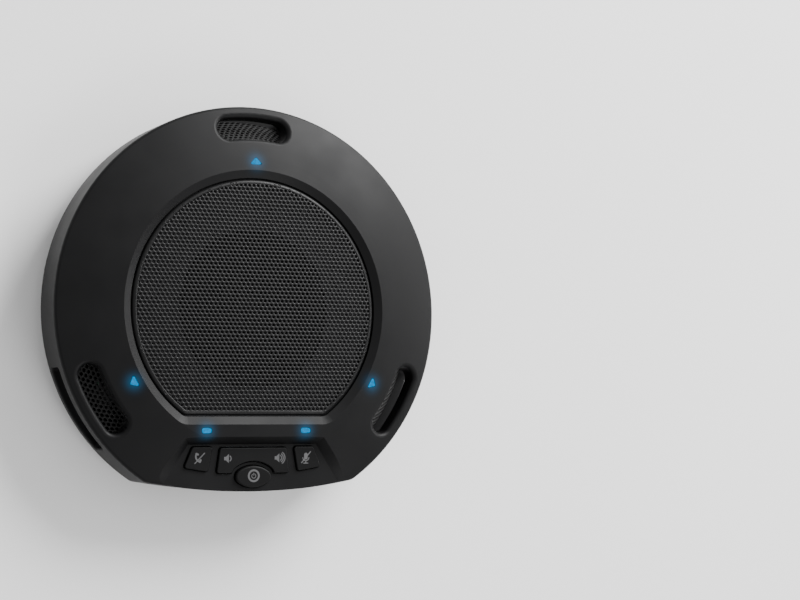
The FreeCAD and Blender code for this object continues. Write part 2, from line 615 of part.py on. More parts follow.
def key_mat():
    """Silicone sheet with a hollow dome under each contact and a low pad under the rocker's fulcrum."""
    solids = [mat_outline(0, MAT_TOP - MAT, MAT_TOP)]
    cuts = []
    for name, (x, y) in KEY_SPOTS.items():
        head = (ROCKER_PIVOT_W if name.startswith("volume") else KEY_BASE) - 0.1
        solids.append(Part.makeCone(2.9, 2.0, head - MAT_TOP, Vector(x, y, MAT_TOP), UP))
        cuts.append(Part.makeCone(2.3, 1.4, 0.9, Vector(x, y, MAT_TOP - MAT - 0.01), UP))
    solids.append(block(-1.6, 1.6, ROCKER_REAR - 4.2, ROCKER_REAR - 0.4, MAT_TOP, ROCKER_PIVOT_W - 0.9 - 0.05))
    return on_panel(fused(solids).cut(cuts[0].multiFuse(cuts[1:])))


def key_board():
    top = MAT_TOP - MAT
    board = mat_outline(0, top - BOARD, top)
    return on_panel(board)


# ---- loudspeaker --------------------------------------------------------------------------------
Z_FLANGE = 33.2          # top of the driver's flange
EXCURSION = 1.5


def speaker_frame():
    flange = tube(41.0, SPEAKER_OPENING_R + 0.3, Z_FLANGE - 1.4, Z_FLANGE)
    wall = revolved([(34.8, Z_FLANGE - 0.2), (36.2, Z_FLANGE - 0.2), (24.4, 20.0), (24.4, 18.2),
                     (8.0, 18.2), (8.0, 19.4), (22.8, 19.4), (22.8, 20.6)])
    ledge = revolved([(22.4, 20.4), (24.0, 20.4), (25.0, 21.95), (22.4, 21.95)])
    windows = []
    for i in range(6):
        cut = revolved([(25.6, 22.6), (42, 22.6), (42, Z_FLANGE - 3.2), (25.6, Z_FLANGE - 3.2)], 38, i * 60 + 11)
        windows.append(cut)
    screw_holes = [cyl(1.2, 30, 36, *polar(SPEAKER_SCREW_R, a)[:2]) for a in SPEAKER_SCREW_ANGLES]
    gap = cyl(11.6, 10, 20)
    return fused([flange, wall, ledge]).cut(gap.multiFuse(windows + screw_holes))


def speaker_magnet():
    ring = tube(22.0, 12.4, 10.6, 16.6)
    top_plate = tube(21.0, 11.0, 16.6, 18.2)
    back_plate = cyl(21.0, 8.6, 10.6)
    pole = cyl(9.3, 10.6, 18.2)
    return ring, fused([back_plate, pole]), top_plate


def speaker_cone():
    z = Z_FLANGE
    return revolved([(29.0, z - 0.5), (29.0, z), (27.4, z), (10.6, 24.6), (10.6, 24.0), (11.0, 23.9), (27.6, z - 0.5)])


def voice_coil():
    former = tube(10.3, 9.9, 15.2, 24.0)
    winding = tube(10.7, 10.3, 15.4, 19.2)
    return fused([former, winding])


def dust_cap():
    """A shallow spherical cap, glued over the middle of the cone."""
    radius, z, rise, thick = 11.6, 25.3, 2.9, 0.5
    ball = (radius ** 2 + rise ** 2) / (2 * rise)
    centre = Vector(0, 0, z + rise - ball)
    shell = Part.makeSphere(ball, centre).cut(Part.makeSphere(ball - thick, centre))
    return shell.common(cyl(radius + 1, z, z + rise + 1))


def speaker_surround():
    """The rubber half-roll between the cone's edge and the flange."""
    roll_r, thick = 2.2, 0.5
    mid = 31.8
    z = Z_FLANGE + 0.05
    torus = Part.makeTorus(mid, roll_r, Vector(0, 0, z), UP)
    hollow = Part.makeTorus(mid, roll_r - thick, Vector(0, 0, z), UP)
    roll = torus.cut(hollow).common(tube(40, 20, z, z + 5))
    outer_lip = tube(36.2, mid + roll_r - 0.2, z, z + thick)
    inner_lip = tube(mid - roll_r + 0.2, 27.6, z, z + thick)
    return fused([roll, outer_lip, inner_lip])


def speaker_spider():
    """The corrugated disc that centres the voice coil."""
    points_top, points_low = [], []
    inner, outer, waves, swell = 10.9, 21.7, 4, 0.45
    steps = 4 * waves
    for i in range(steps + 1):
        r = inner + (outer - inner) * i / steps
        z = 22.0 + swell * math.sin(2 * math.pi * waves * i / steps)
        points_top.append((r, z + 0.4))
        points_low.append((r, z))
    points_low.append((23.4, z))
    points_top.append((23.4, z + 0.4))
    return revolved(points_low + points_top[::-1])


def speaker_gasket():
    ring = tube(41.0, 36.5, Z_FLANGE, Z_SHELF - SHELF)
    holes = [cyl(1.2, 30, 36, *polar(SPEAKER_SCREW_R, a)[:2]) for a in SPEAKER_SCREW_ANGLES]
    return ring.cut(holes[0].multiFuse(holes[1:]))


def speaker_screws():
    screws = []
    for angle in SPEAKER_SCREW_ANGLES:
        x, y = polar(SPEAKER_SCREW_R, angle)[:2]
        head = cyl(2.0, Z_FLANGE - 2.7, Z_FLANGE - 1.4, x, y)
        screws.append(fused([head, cyl(0.9, Z_FLANGE - 1.5, Z_SHELF - 0.6, x, y)]))
    return group(screws)


def speaker_chamber():
    """The sealed cup behind the loudspeaker, screwed to the grille shelf through four ears."""
    z_top, z_bottom = Z_SHELF - SHELF, 5.4
    cup = revolved([(0, z_bottom), (42, z_bottom), (46, z_bottom + 4), (46, z_top - 2), (48, z_top - 2),
                    (48, z_top), (44.2, z_top), (44.2, z_bottom + 4.8), (41.2, z_bottom + 1.8),
                    (0, z_bottom + 1.8)])
    ears = [cyl(2.6, z_top - 2, z_top, *polar(CHAMBER_SCREW_R, a)[:2]) for a in CHAMBER_SCREW_ANGLES]
    webs = []
    for angle in CHAMBER_SCREW_ANGLES:
        web = Part.makeBox(6.0, 5.2, 2, Vector(46.6, -2.6, z_top - 2))
        web.rotate(ORIGIN, UP, angle)
        webs.append(web.common(cyl(CHAMBER_SCREW_R, 0, 50)))
    holes = [cyl(1.0, 20, 40, *polar(CHAMBER_SCREW_R, a)[:2]) for a in CHAMBER_SCREW_ANGLES]
    return fused([cup] + ears + webs).cut(holes[0].multiFuse(holes[1:]))


def chamber_screws():
    z_top = Z_SHELF - SHELF
    screws = []
    for angle in CHAMBER_SCREW_ANGLES:
        x, y = polar(CHAMBER_SCREW_R, angle)[:2]
        screws.append(fused([cyl(1.8, z_top - 3.2, z_top - 2, x, y), cyl(0.85, z_top - 2.1, z_top + 1.2, x, y)]))
    return group(screws)


# ---- boards, sockets and battery -------------------------------------------------------------------
def main_board():
    z = Z_MAIN_BOARD
    board = revolved([(48.5, z), (79.2, z), (79.2, z + BOARD), (48.5, z + BOARD)], 204, -12)
    holes = [cyl(1.3, 10, 20, *polar(STANDOFF_R, a)[:2]) for a in STANDOFF_ANGLES]
    holes += [cyl(4.7, 10, 20, *polar(CASE_SCREW_R, a)[:2]) for a in CASE_SCREW_ANGLES[:4]]
    return board.cut(holes[0].multiFuse(holes[1:]))


def board_screws():
    screws = []
    for angle in STANDOFF_ANGLES:
        x, y = polar(STANDOFF_R, angle)[:2]
        z = Z_MAIN_BOARD + BOARD
        screws.append(fused([cyl(2.2, z, z + 1.5, x, y), cyl(0.95, z - 7.0, z + 0.1, x, y)]))
    return group(screws)


def on_board(shape, angle):
    """A part built on +Y on the main board's top face, turned to its place."""
    return at_bay(shape, angle)


def main_processor():
    z = Z_MAIN_BOARD + BOARD
    return on_board(block(-6.5, 6.5, 55.5, 68.5, z, z + 1.2), 125)


def board_chips():
    """The lesser chips, the storage inductors and the capacitors of the power supply."""
    z = Z_MAIN_BOARD + BOARD
    chips = [
        on_board(block(-4, 4, 52, 60, z, z + 1.1), 88),
        on_board(block(-3, 3, 64, 69, z, z + 1.0), 100),
        on_board(block(-3, 3, 53, 57, z, z + 1.0), 79),
        on_board(block(-3.2, 3.2, 62, 68.4, z, z + 3.4, 1.0), 12),
        on_board(block(-3.2, 3.2, 52, 58.4, z, z + 3.4, 1.0), 2),
        on_board(block(-2.5, 2.5, 70, 75, z, z + 1.0), 72),
    ]
    chips += [on_board(cyl(2.5, z, z + 5.6, 0, 53), a) for a in (40, 47)]
    return group(chips)


def radio_module():
    """The 2.4 GHz radio: a small board under a metal can, with its bare aerial end outwards."""
    z = Z_MAIN_BOARD + BOARD
    carrier = on_board(block(-8, 8, 55, 78, z, z + 0.8), 145)
    can = on_board(block(-7, 7, 56, 70, z + 0.8, z + 2.8, 0.8), 145)
    return fused([carrier, can])


def aux_jack():
    z0 = Z_MAIN_BOARD + BOARD
    body = block(JACK_U - 3.4, JACK_U + 3.4, 71.4, 84.4, z0, PORT_Z + 3.0)
    nose = block(JACK_U - 3.0, JACK_U + 3.0, 84.0, PORT_FACE - 0.2, PORT_Z - 2.8, PORT_Z + 2.9, 0.6)
    bore = Part.makeCylinder(JACK_BORE_R, JACK_BORE_DEPTH, Vector(JACK_U, PORT_FACE - 0.2 - JACK_BORE_DEPTH, PORT_Z),
                             Vector(0, 1, 0))
    return at_port(fused([body, nose]).cut(bore))


def usb_socket():
    """A small USB socket: a metal shell round a contact tongue."""
    z0 = Z_MAIN_BOARD + BOARD
    depth = 8.0
    y1 = PORT_FACE - 0.2
    shell = block(USB_U - 3.9, USB_U + 3.9, y1 - depth, y1, PORT_Z - 1.6, PORT_Z + 1.6)
    cavity = block(USB_U - 3.5, USB_U + 3.5, y1 - depth + 1.0, y1 + 1, PORT_Z - 1.2, PORT_Z + 1.2)
    tongue = block(USB_U - 2.6, USB_U + 2.6, y1 - depth + 0.5, y1 - 1.5, PORT_Z + 0.1, PORT_Z + 0.8)
    feet = [block(USB_U + x - 0.5, USB_U + x + 0.5, 75.0, 79.6, z0, PORT_Z - 0.4) for x in (-3.4, 3.4)]
    base = block(USB_U - 3.9, USB_U + 3.9, 75.0, y1 - depth + 0.5, PORT_Z - 1.6, PORT_Z + 1.6)
    return at_port(fused([shell.cut(cavity), tongue, base] + feet))


def battery_pack():
    pack = block(*BATTERY, 5.4, 21.4)
    return pack.makeFillet(3.0, [e for e in pack.Edges if abs(e.tangentAt(e.FirstParameter).x) > 0.9])


def battery_pad():
    x0, x1, y0, y1 = BATTERY
    return block(x0 + 5, x1 - 5, y0 + 3, y1 - 3, Z_CASE + WALL, 5.4)


# ---- microphones --------------------------------------------------------------------------------
MIC_Z = 26.6


def tilt_to_mesh(shape):
    """A shape drawn along +Y from the origin, laid along the mesh's inward normal behind a bay."""
    (r0, z0), (r1, z1) = BAY_TOP, BAY_BOTTOM
    length = math.hypot(r1 - r0, z0 - z1)
    normal = math.degrees(math.atan2(r1 - r0, z0 - z1))
    placed = shape.copy()
    placed.rotate(ORIGIN, Vector(1, 0, 0), normal)
    placed.translate(Vector(0, mesh_line(MESH_SHEET + 0.3, MIC_Z), MIC_Z))
    return placed


def along_y(radius, y0, y1):
    return Part.makeCylinder(radius, y1 - y0, Vector(0, y0, 0), Vector(0, 1, 0))


def mic_boot():
    """A soft rubber boot that seals the capsule to the mesh."""
    boot = along_y(4.6, -6.0, 0).cut(along_y(3.0, -6.1, -1.6)).cut(along_y(1.2, -2, 1))
    return tilt_to_mesh(boot)


def mic_capsule():
    return tilt_to_mesh(along_y(2.95, -4.4, -1.7))


def mic_board():
    board = Part.makeBox(10.4, 0.8, 9.6, Vector(-5.2, -6.9, -4.8))
    return tilt_to_mesh(board)


# ---- internal leads ------------------------------------------------------------------------------
def lead(points, radius, bend):
    """A round lead through the points, with a tangent arc at each inner point."""
    edges = []
    at = points[0]
    for i in range(1, len(points) - 1):
        corner = points[i]
        back, on = (points[i - 1] - corner).normalize(), (points[i + 1] - corner).normalize()
        half = back.getAngle(on) / 2
        reach = bend / math.tan(half)
        a, b = corner + back * reach, corner + on * reach
        middle = (back + on).normalize()
        centre = corner + middle * (bend / math.sin(half))
        edges.append(line_edge(at, a))
        edges.append(arc_edge(a, centre - middle * bend, b))
        at = b
    edges.append(line_edge(at, points[-1]))
    path = Part.Wire(edges)
    profile = Part.Wire(Part.Circle(points[0], points[1] - points[0], radius).toShape())
    return path.makePipeShell([profile], True, False)


def key_leads():
    """Two leads from the key board to the main board, round the right of the chamber."""
    z = Z_MAIN_BOARD + BOARD + 0.9
    leads = []
    for i in range(2):
        x = 1.5 * i
        leads.append(lead([Vector(29 + x, -65, 25.0), Vector(40 + x, -52, 24.0), Vector(54 + x, -27, 22.0),
                           Vector(56 + x, -13, z + 0.6), Vector(55.5 + x, -6, z)], 0.6, 3.0))
    return group(leads)


def battery_leads():
    z = Z_MAIN_BOARD + BOARD + 0.9
    leads = []
    for i in range(2):
        x = -1.7 * i
        leads.append(lead([Vector(-29.8, -60 - 1.8 * i, 13.0), Vector(-38 + x, -54, 13.0), Vector(-54 + x, -29, 14.0),
                           Vector(-57 + x, -17, z + 0.8), Vector(-57 + x, -5, z)], 0.7, 3.0))
    return group(leads)


NODES = {
    "top_cover": top_cover,
    "bottom_case": bottom_case,
    "case_screws": case_screws,
    "speaker_grille": speaker_grille,
    "status_light_left": lambda: status_guide(-1),
    "status_light_right": lambda: status_guide(1),
    "light_board": light_board,
    "light_board_screws": light_screws,
    "light_chips": light_chips,
    "call_key": lambda: side_key(-1),
    "mute_key": lambda: side_key(1),
    "power_key": power_key,
    "volume_rocker": volume_rocker,
    "key_mat": key_mat,
    "key_board": key_board,
    "speaker_frame": speaker_frame,
    "speaker_magnet": lambda: speaker_magnet()[0],
    "speaker_pole_piece": lambda: speaker_magnet()[1],
    "speaker_top_plate": lambda: speaker_magnet()[2],
    "speaker_cone": speaker_cone,
    "speaker_dust_cap": dust_cap,
    "speaker_voice_coil": voice_coil,
    "speaker_surround": speaker_surround,
    "speaker_spider": speaker_spider,
    "speaker_gasket": speaker_gasket,
    "speaker_screws": speaker_screws,
    "speaker_chamber": speaker_chamber,
    "chamber_screws": chamber_screws,
    "main_board": main_board,
    "main_board_screws": board_screws,
    "main_processor": main_processor,
    "board_chips": board_chips,
    "radio_module": radio_module,
    "aux_jack": aux_jack,
    "usb_socket": usb_socket,
    "battery_pack": battery_pack,
    "battery_pad": battery_pad,
    "battery_leads": battery_leads,
    "key_leads": key_leads,
}
for place, angle in BAY_ANGLES.items():
    NODES["mic_mesh_" + place] = lambda a=angle: at_bay(mic_mesh(), a)
    NODES["direction_light_" + place] = lambda a=angle: at_bay(light_guide(), a)
    NODES["mic_boot_" + place] = lambda a=angle: at_bay(mic_boot(), a)
    NODES["mic_capsule_" + place] = lambda a=angle: at_bay(mic_capsule(), a)
    NODES["mic_board_" + place] = lambda a=angle: at_bay(mic_board(), a)
for place, angle in FOOT_ANGLES.items():
    NODES["foot_" + place] = lambda a=angle: foot(a)


def main():
    os.makedirs(OUT, exist_ok=True)
    for name, make in NODES.items():
        shape = make()
        if not shape.isValid() or shape.Volume <= 0 or not shape.Solids:
            raise ValueError(f"{name} isn't a valid solid")
        shape.exportStep(f"{OUT}/{name}.step")
        box = shape.BoundBox
        print(f"{name:24s} solids {len(shape.Solids)} faces {len(shape.Faces):3d} volume {shape.Volume:10.1f}"
              f"  z {box.ZMin:6.2f} to {box.ZMax:6.2f}")


main()
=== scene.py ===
# %% [markdown]
# # A conference speakerphone
# The real object is a puck that lies on a meeting table: a moulded cover with a perforated speaker grille,
# three microphone bays, five blue lights and a sunk key panel. The measured frame of it is loaded first.
# The frame stays as it is: this file gives it its finishes, and makes what is too fine for the frame.

# %% Load the frame
import json
import math

import bmesh
import bpy
from mathutils import Matrix, Vector


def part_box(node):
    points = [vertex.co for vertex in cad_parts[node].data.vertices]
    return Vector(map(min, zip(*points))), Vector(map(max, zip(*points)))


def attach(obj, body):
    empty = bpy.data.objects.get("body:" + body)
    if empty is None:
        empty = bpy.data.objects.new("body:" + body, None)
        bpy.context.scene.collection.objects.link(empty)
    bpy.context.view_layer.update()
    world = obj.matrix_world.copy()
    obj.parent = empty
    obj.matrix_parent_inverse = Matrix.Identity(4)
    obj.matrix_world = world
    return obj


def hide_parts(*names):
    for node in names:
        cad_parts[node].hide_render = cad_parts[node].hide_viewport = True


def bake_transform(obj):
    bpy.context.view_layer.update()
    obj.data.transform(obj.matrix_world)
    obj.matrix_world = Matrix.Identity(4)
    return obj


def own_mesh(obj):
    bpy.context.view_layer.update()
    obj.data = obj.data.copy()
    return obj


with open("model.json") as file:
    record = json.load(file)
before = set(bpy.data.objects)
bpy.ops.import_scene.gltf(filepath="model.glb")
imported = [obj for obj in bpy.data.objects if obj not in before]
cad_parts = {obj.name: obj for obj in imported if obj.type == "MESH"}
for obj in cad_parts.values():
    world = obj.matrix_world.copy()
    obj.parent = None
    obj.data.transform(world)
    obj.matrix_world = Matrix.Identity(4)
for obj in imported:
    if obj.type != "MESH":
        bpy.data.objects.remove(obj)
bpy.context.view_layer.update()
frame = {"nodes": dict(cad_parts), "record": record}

nodes = frame["nodes"]
MM = 0.001

# %% [markdown]
# The camera looks almost straight down on the phone, from above its left side, so that the left wall shows.
# A direction, a distance and a lens say all of that. The phone sits left of the middle, so the lens is
# shifted, which moves the picture without turning the camera.

# %% Camera
LOOK_SIDE, LOOK_TILT = math.radians(-22.22), math.radians(-3.30)
CAMERA_DISTANCE = 0.8
toward_camera = Vector((math.sin(LOOK_SIDE) * math.cos(LOOK_TILT), math.sin(LOOK_TILT),
                        math.cos(LOOK_SIDE) * math.cos(LOOK_TILT)))
camera_right = Vector((0, 1, 0)).cross(toward_camera).normalized()
camera_up = toward_camera.cross(camera_right)
looked_at = Vector((0, 0, 33.0 * MM))

camera_data = bpy.data.cameras.new("camera")
camera_data.sensor_width = 36.0
camera_data.lens = 82.58
camera_data.shift_x, camera_data.shift_y = 0.1859, 0.0118
camera_data.clip_start = 0.01
camera = bpy.data.objects.new("camera", camera_data)
camera.matrix_world = Matrix.Translation(looked_at + CAMERA_DISTANCE * toward_camera) @ Matrix(
    (camera_right, camera_up, toward_camera)).transposed().to_4x4()
bpy.context.scene.collection.objects.link(camera)
bpy.context.scene.camera = camera
print("camera at", [round(c, 3) for c in camera.location])

# %% [markdown]
# Every finish here is a small node tree. The helpers below keep those trees short: one starts a material,
# one adds a node with its settings, and one feeds a socket with either a number or another node's output.

# %% Helpers for node trees
def add(tree, kind, **settings):
    """A node of this kind, with its settings."""
    node = tree.nodes.new(kind)
    for name, value in settings.items():
        setattr(node, name, value)
    return node


def feed(tree, socket, value):
    """Links an output to the socket, or sets a plain value on it."""
    if isinstance(value, bpy.types.NodeSocket):
        tree.links.new(value, socket)
    elif value is not None:
        socket.default_value = value


def sums(tree, operation, *values):
    """One step of arithmetic."""
    node = add(tree, "ShaderNodeMath", operation=operation)
    for socket, value in zip(node.inputs, values):
        feed(tree, socket, value)
    return node.outputs[0]


def new_finish(name, roughness, metallic=0.0, shine=0.5):
    material = bpy.data.materials.new(name)
    material.use_nodes = True
    shader = material.node_tree.nodes["Principled BSDF"]
    shader.inputs["Roughness"].default_value = roughness
    shader.inputs["Metallic"].default_value = metallic
    shader.inputs["Specular IOR Level"].default_value = shine
    return material, material.node_tree, shader


# %% Helpers for surface detail
def place(tree):
    """The point on the piece, in metres."""
    return add(tree, "ShaderNodeTexCoord").outputs["Object"]


def speckle(tree, size, detail=2.0, stretch=None):
    """Noise whose grains are about this size across, in metres, stretched along an axis if asked."""
    spot = place(tree)
    if stretch:
        mapping = add(tree, "ShaderNodeMapping")
        feed(tree, mapping.inputs["Vector"], spot)
        mapping.inputs["Scale"].default_value = stretch
        spot = mapping.outputs[0]
    noise = add(tree, "ShaderNodeTexNoise")
    feed(tree, noise.inputs["Vector"], spot)
    noise.inputs["Scale"].default_value = 1.0 / size
    noise.inputs["Detail"].default_value = detail
    return noise.outputs[0]


def between(tree, amount, low, high, start=0.35, stop=0.65):
    """A number that runs from low to high as amount runs from start to stop."""
    span = add(tree, "ShaderNodeMapRange")
    for socket, value in zip(span.inputs, (amount, start, stop, low, high)):
        feed(tree, socket, value)
    return span.outputs[0]


def tint(tree, amount, dark, light):
    """A colour between dark and light."""
    ramp = add(tree, "ShaderNodeValToRGB")
    ramp.color_ramp.elements[0].position, ramp.color_ramp.elements[1].position = 0.3, 0.7
    ramp.color_ramp.elements[0].color = (*dark, 1.0)
    ramp.color_ramp.elements[1].color = (*light, 1.0)
    feed(tree, ramp.inputs[0], amount)
    return ramp.outputs[0]


def emboss(tree, shader, height, depth):
    """Raises the surface by depth, in metres, where height is 1."""
    bump = add(tree, "ShaderNodeBump")
    bump.inputs["Distance"].default_value = depth
    feed(tree, bump.inputs["Height"], height)
    feed(tree, shader.inputs["Normal"], bump.outputs[0])


# %% [markdown]
# The cover and the case are moulded in a tool whose steel was etched, which leaves a fine even grain and a
# soft sheen. The finish has three layers: the grain as a bump, a slow change of colour where the plastic
# flowed, and a small change of roughness with it.

# %% Moulded plastics
def moulded(name, dark, light, roughness, grain, depth, shine=0.4):
    material, tree, shader = new_finish(name, roughness, shine=shine)
    flow = speckle(tree, 0.02, detail=3.0)
    feed(tree, shader.inputs["Base Color"], tint(tree, flow, dark, light))
    feed(tree, shader.inputs["Roughness"], between(tree, flow, roughness - 0.03, roughness + 0.04))
    emboss(tree, shader, speckle(tree, grain, detail=1.5), depth)
    return material, tree, shader


def lighter_below(tree, shader, reach, height, colour):
    """Lightens what lies within reach of the middle and below height: the shelf behind the grille."""
    at = add(tree, "ShaderNodeSeparateXYZ")
    feed(tree, at.inputs[0], place(tree))
    across = sums(tree, "SQRT", sums(tree, "ADD", sums(tree, "MULTIPLY", at.outputs[0], at.outputs[0]),
                                     sums(tree, "MULTIPLY", at.outputs[1], at.outputs[1])))
    inside = sums(tree, "MULTIPLY", sums(tree, "LESS_THAN", across, reach),
                  sums(tree, "LESS_THAN", at.outputs[2], height))
    mixed = add(tree, "ShaderNodeMix", data_type="RGBA")
    feed(tree, mixed.inputs["Factor"], inside)
    feed(tree, mixed.inputs[6], shader.inputs["Base Color"].links[0].from_socket)
    mixed.inputs[7].default_value = (*colour, 1.0)
    feed(tree, shader.inputs["Base Color"], mixed.outputs[2])


cover_plastic, cover_tree, cover_shader = moulded(
    "cover_plastic", (0.0026, 0.0026, 0.0029), (0.0034, 0.0034, 0.0037), 0.48, 0.00035, 0.00002, shine=0.15)
case_plastic, *_ = moulded(
    "case_plastic", (0.0022, 0.0022, 0.0024), (0.0030, 0.0030, 0.0032), 0.6, 0.0005, 0.00003, shine=0.12)
key_plastic, *_ = moulded(
    "key_plastic", (0.0020, 0.0020, 0.0022), (0.0028, 0.0028, 0.0030), 0.5, 0.0002, 0.000008, shine=0.13)
inner_plastic, *_ = moulded(
    "inner_plastic", (0.002, 0.002, 0.002), (0.003, 0.003, 0.003), 0.7, 0.0004, 0.00002, shine=0.1)
SHELF_REACH, SHELF_COLOUR = 56.0 * MM, (0.085, 0.085, 0.09)
shelf_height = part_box("speaker_grille")[0][2] + 0.2 * MM
lighter_below(cover_tree, cover_shader, SHELF_REACH, shelf_height, SHELF_COLOUR)
print("moulded plastics ready")

# %% [markdown]
# The lights are small blue light guides. The plastic round each one looks lit as well, because the housing
# passes a little light at its windows. That light on the cover is painted: a falling-off blue glow round each
# guide, added to the cover's own finish as emission, so it shows from every side. The guides' middles come
# from the frame.

# %% Lights and their painted glow
LIGHTS = ["direction_light_rear", "direction_light_left", "direction_light_right",
          "status_light_left", "status_light_right"]
LIT_BLUE = (0.0, 0.46, 1.0)
GLOW_REACH, GLOW_STRENGTH = 3.3 * MM, 0.16


def top_middle(node):
    low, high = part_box(node)
    return Vector(((low[0] + high[0]) / 2, (low[1] + high[1]) / 2, high[2]))


def lit_guide(name, strength):
    """A guide lit from inside, whose blue is a little uneven."""
    material, tree, shader = new_finish(name, 0.4, shine=0.0)
    cloud = speckle(tree, 0.0012, detail=1.0)
    feed(tree, shader.inputs["Base Color"], tint(tree, cloud, (0.0, 0.02, 0.05), (0.0, 0.03, 0.08)))
    feed(tree, shader.inputs["Emission Color"], tint(tree, cloud, (0.0, 0.22, 0.50), (0.0, 0.30, 0.68)))
    shader.inputs["Emission Strength"].default_value = strength
    return material


# Painted light: a blue glow added to the cover's finish as emission, fading with distance from each light.
def paint_glow(tree, shader, middles, reach, strength):
    spot = place(tree)
    total = None
    for middle in middles:
        apart = add(tree, "ShaderNodeVectorMath", operation="DISTANCE")
        feed(tree, apart.inputs[0], spot)
        apart.inputs[1].default_value = middle
        near = sums(tree, "DIVIDE", apart.outputs["Value"], reach)
        fading = sums(tree, "EXPONENT", sums(tree, "MULTIPLY", sums(tree, "POWER", near, 2.0), -1.0))
        total = fading if total is None else sums(tree, "ADD", total, fading)
    shader.inputs["Emission Color"].default_value = (*LIT_BLUE, 1.0)
    feed(tree, shader.inputs["Emission Strength"], sums(tree, "MULTIPLY", total, strength))


guide_finish = lit_guide("lit_guide", 1.0)
paint_glow(cover_tree, cover_shader, [top_middle(n) for n in LIGHTS], GLOW_REACH, GLOW_STRENGTH)
print("glow at", [[round(c / MM, 1) for c in top_middle(n)] for n in LIGHTS])

# %% [markdown]
# Metals, rubbers and boards fill the inside. They differ in a few numbers only, so each family is one helper:
# a brushed metal streaks its roughness along one axis, and a board has a faint weave under its green mask.

# %% Metals
def metal(name, dark, light, roughness, streak=(1.0, 1.0, 12.0)):
    material, tree, shader = new_finish(name, roughness, metallic=1.0)
    lines = speckle(tree, 0.0015, detail=4.0, stretch=streak)
    feed(tree, shader.inputs["Base Color"], tint(tree, lines, dark, light))
    feed(tree, shader.inputs["Roughness"], between(tree, lines, roughness - 0.08, roughness + 0.12))
    emboss(tree, shader, lines, 0.000006)
    return material


screw_zinc = metal("screw_zinc", (0.42, 0.43, 0.45), (0.55, 0.56, 0.58), 0.35)
can_tin = metal("can_tin", (0.55, 0.56, 0.57), (0.66, 0.67, 0.68), 0.4)
pole_steel = metal("pole_steel", (0.38, 0.39, 0.41), (0.5, 0.5, 0.52), 0.38)
coil_copper = metal("coil_copper", (0.5, 0.2, 0.08), (0.7, 0.32, 0.14), 0.35, streak=(1.0, 1.0, 40.0))
print("metals ready")

# %% Rubbers, cloth, paper and boards
def soft(name, dark, light, roughness, grain, depth):
    """Rubber, foam, cloth and paper: rough, with a coarse grain."""
    material, tree, shader = new_finish(name, roughness)
    grains = speckle(tree, grain, detail=4.0)
    feed(tree, shader.inputs["Base Color"], tint(tree, grains, dark, light))
    feed(tree, shader.inputs["Roughness"], between(tree, grains, roughness - 0.06, roughness + 0.06))
    emboss(tree, shader, grains, depth)
    return material


def board(name, dark, light):
    """A printed board: woven glass cloth shows faintly under a glossy mask."""
    material, tree, shader = new_finish(name, 0.35)
    weave = add(tree, "ShaderNodeTexChecker")
    feed(tree, weave.inputs["Vector"], place(tree))
    weave.inputs["Scale"].default_value = 1 / 0.0006
    patches = speckle(tree, 0.004, detail=3.0)
    feed(tree, shader.inputs["Base Color"], tint(tree, patches, dark, light))
    emboss(tree, shader, weave.outputs[1], 0.000006)
    return material


foot_rubber = soft("foot_rubber", (0.012, 0.012, 0.012), (0.022, 0.022, 0.022), 0.8, 0.0006, 0.00003)
mat_silicone = soft("mat_silicone", (0.25, 0.26, 0.28), (0.32, 0.33, 0.35), 0.55, 0.0015, 0.00001)
seal_foam = soft("seal_foam", (0.04, 0.04, 0.045), (0.09, 0.09, 0.095), 0.9, 0.0004, 0.00008)
cone_paper = soft("cone_paper", (0.008, 0.008, 0.008), (0.018, 0.018, 0.018), 0.8, 0.0005, 0.00004)
spider_cloth = soft("spider_cloth", (0.36, 0.23, 0.09), (0.5, 0.34, 0.15), 0.85, 0.0005, 0.00006)
basket_paint = soft("basket_paint", (0.03, 0.03, 0.032), (0.045, 0.045, 0.048), 0.45, 0.0004, 0.00001)
magnet_ferrite = soft("magnet_ferrite", (0.05, 0.05, 0.055), (0.075, 0.075, 0.08), 0.7, 0.0005, 0.00002)
chip_resin = soft("chip_resin", (0.015, 0.015, 0.017), (0.03, 0.03, 0.032), 0.6, 0.0003, 0.00001)
battery_sleeve = soft("battery_sleeve", (0.03, 0.09, 0.24), (0.05, 0.12, 0.3), 0.3, 0.004, 0.00004)
lead_sleeve = soft("lead_sleeve", (0.28, 0.02, 0.02), (0.36, 0.03, 0.03), 0.45, 0.001, 0.00001)
chip_diffuser = soft("chip_diffuser", (0.6, 0.62, 0.65), (0.75, 0.77, 0.8), 0.4, 0.0004, 0.00001)
board_mask = board("board_mask", (0.012, 0.09, 0.045), (0.02, 0.13, 0.065))
print("soft finishes and boards ready")

# %% [markdown]
# The grille is steel sheet, punched, rolled over at its edge and painted. The paint is thin and slightly
# uneven, so it catches light on the webs between the holes. The symbols on the keys are pad-printed in grey.

# %% Grille paint and printed ink
def painted(name, dark, light, roughness):
    material, tree, shader = new_finish(name, roughness, shine=0.2)
    orange_peel = speckle(tree, 0.0006, detail=2.0)
    feed(tree, shader.inputs["Base Color"], tint(tree, speckle(tree, 0.012), dark, light))
    feed(tree, shader.inputs["Roughness"], between(tree, orange_peel, roughness - 0.05, roughness + 0.05))
    emboss(tree, shader, orange_peel, 0.00001)
    return material


grille_paint = painted("grille_paint", (0.0045, 0.0045, 0.0048), (0.0060, 0.0060, 0.0063), 0.42)
strip_paint = painted("strip_paint", (0.0022, 0.0022, 0.0024), (0.0032, 0.0032, 0.0034), 0.55)
symbol_ink = painted("symbol_ink", (0.07, 0.07, 0.072), (0.09, 0.09, 0.092), 0.55)
print("paint and ink ready")

# %% [markdown]
# The speaker grille and the microphone meshes are the same thing twice: a staggered pattern of round holes
# in thin sheet. One set of geometry nodes lays out the pattern flat. A cell is a ring between a round hole
# and a hexagon, and hexagons fill the sheet without gaps. Only what the pattern is bent onto differs.

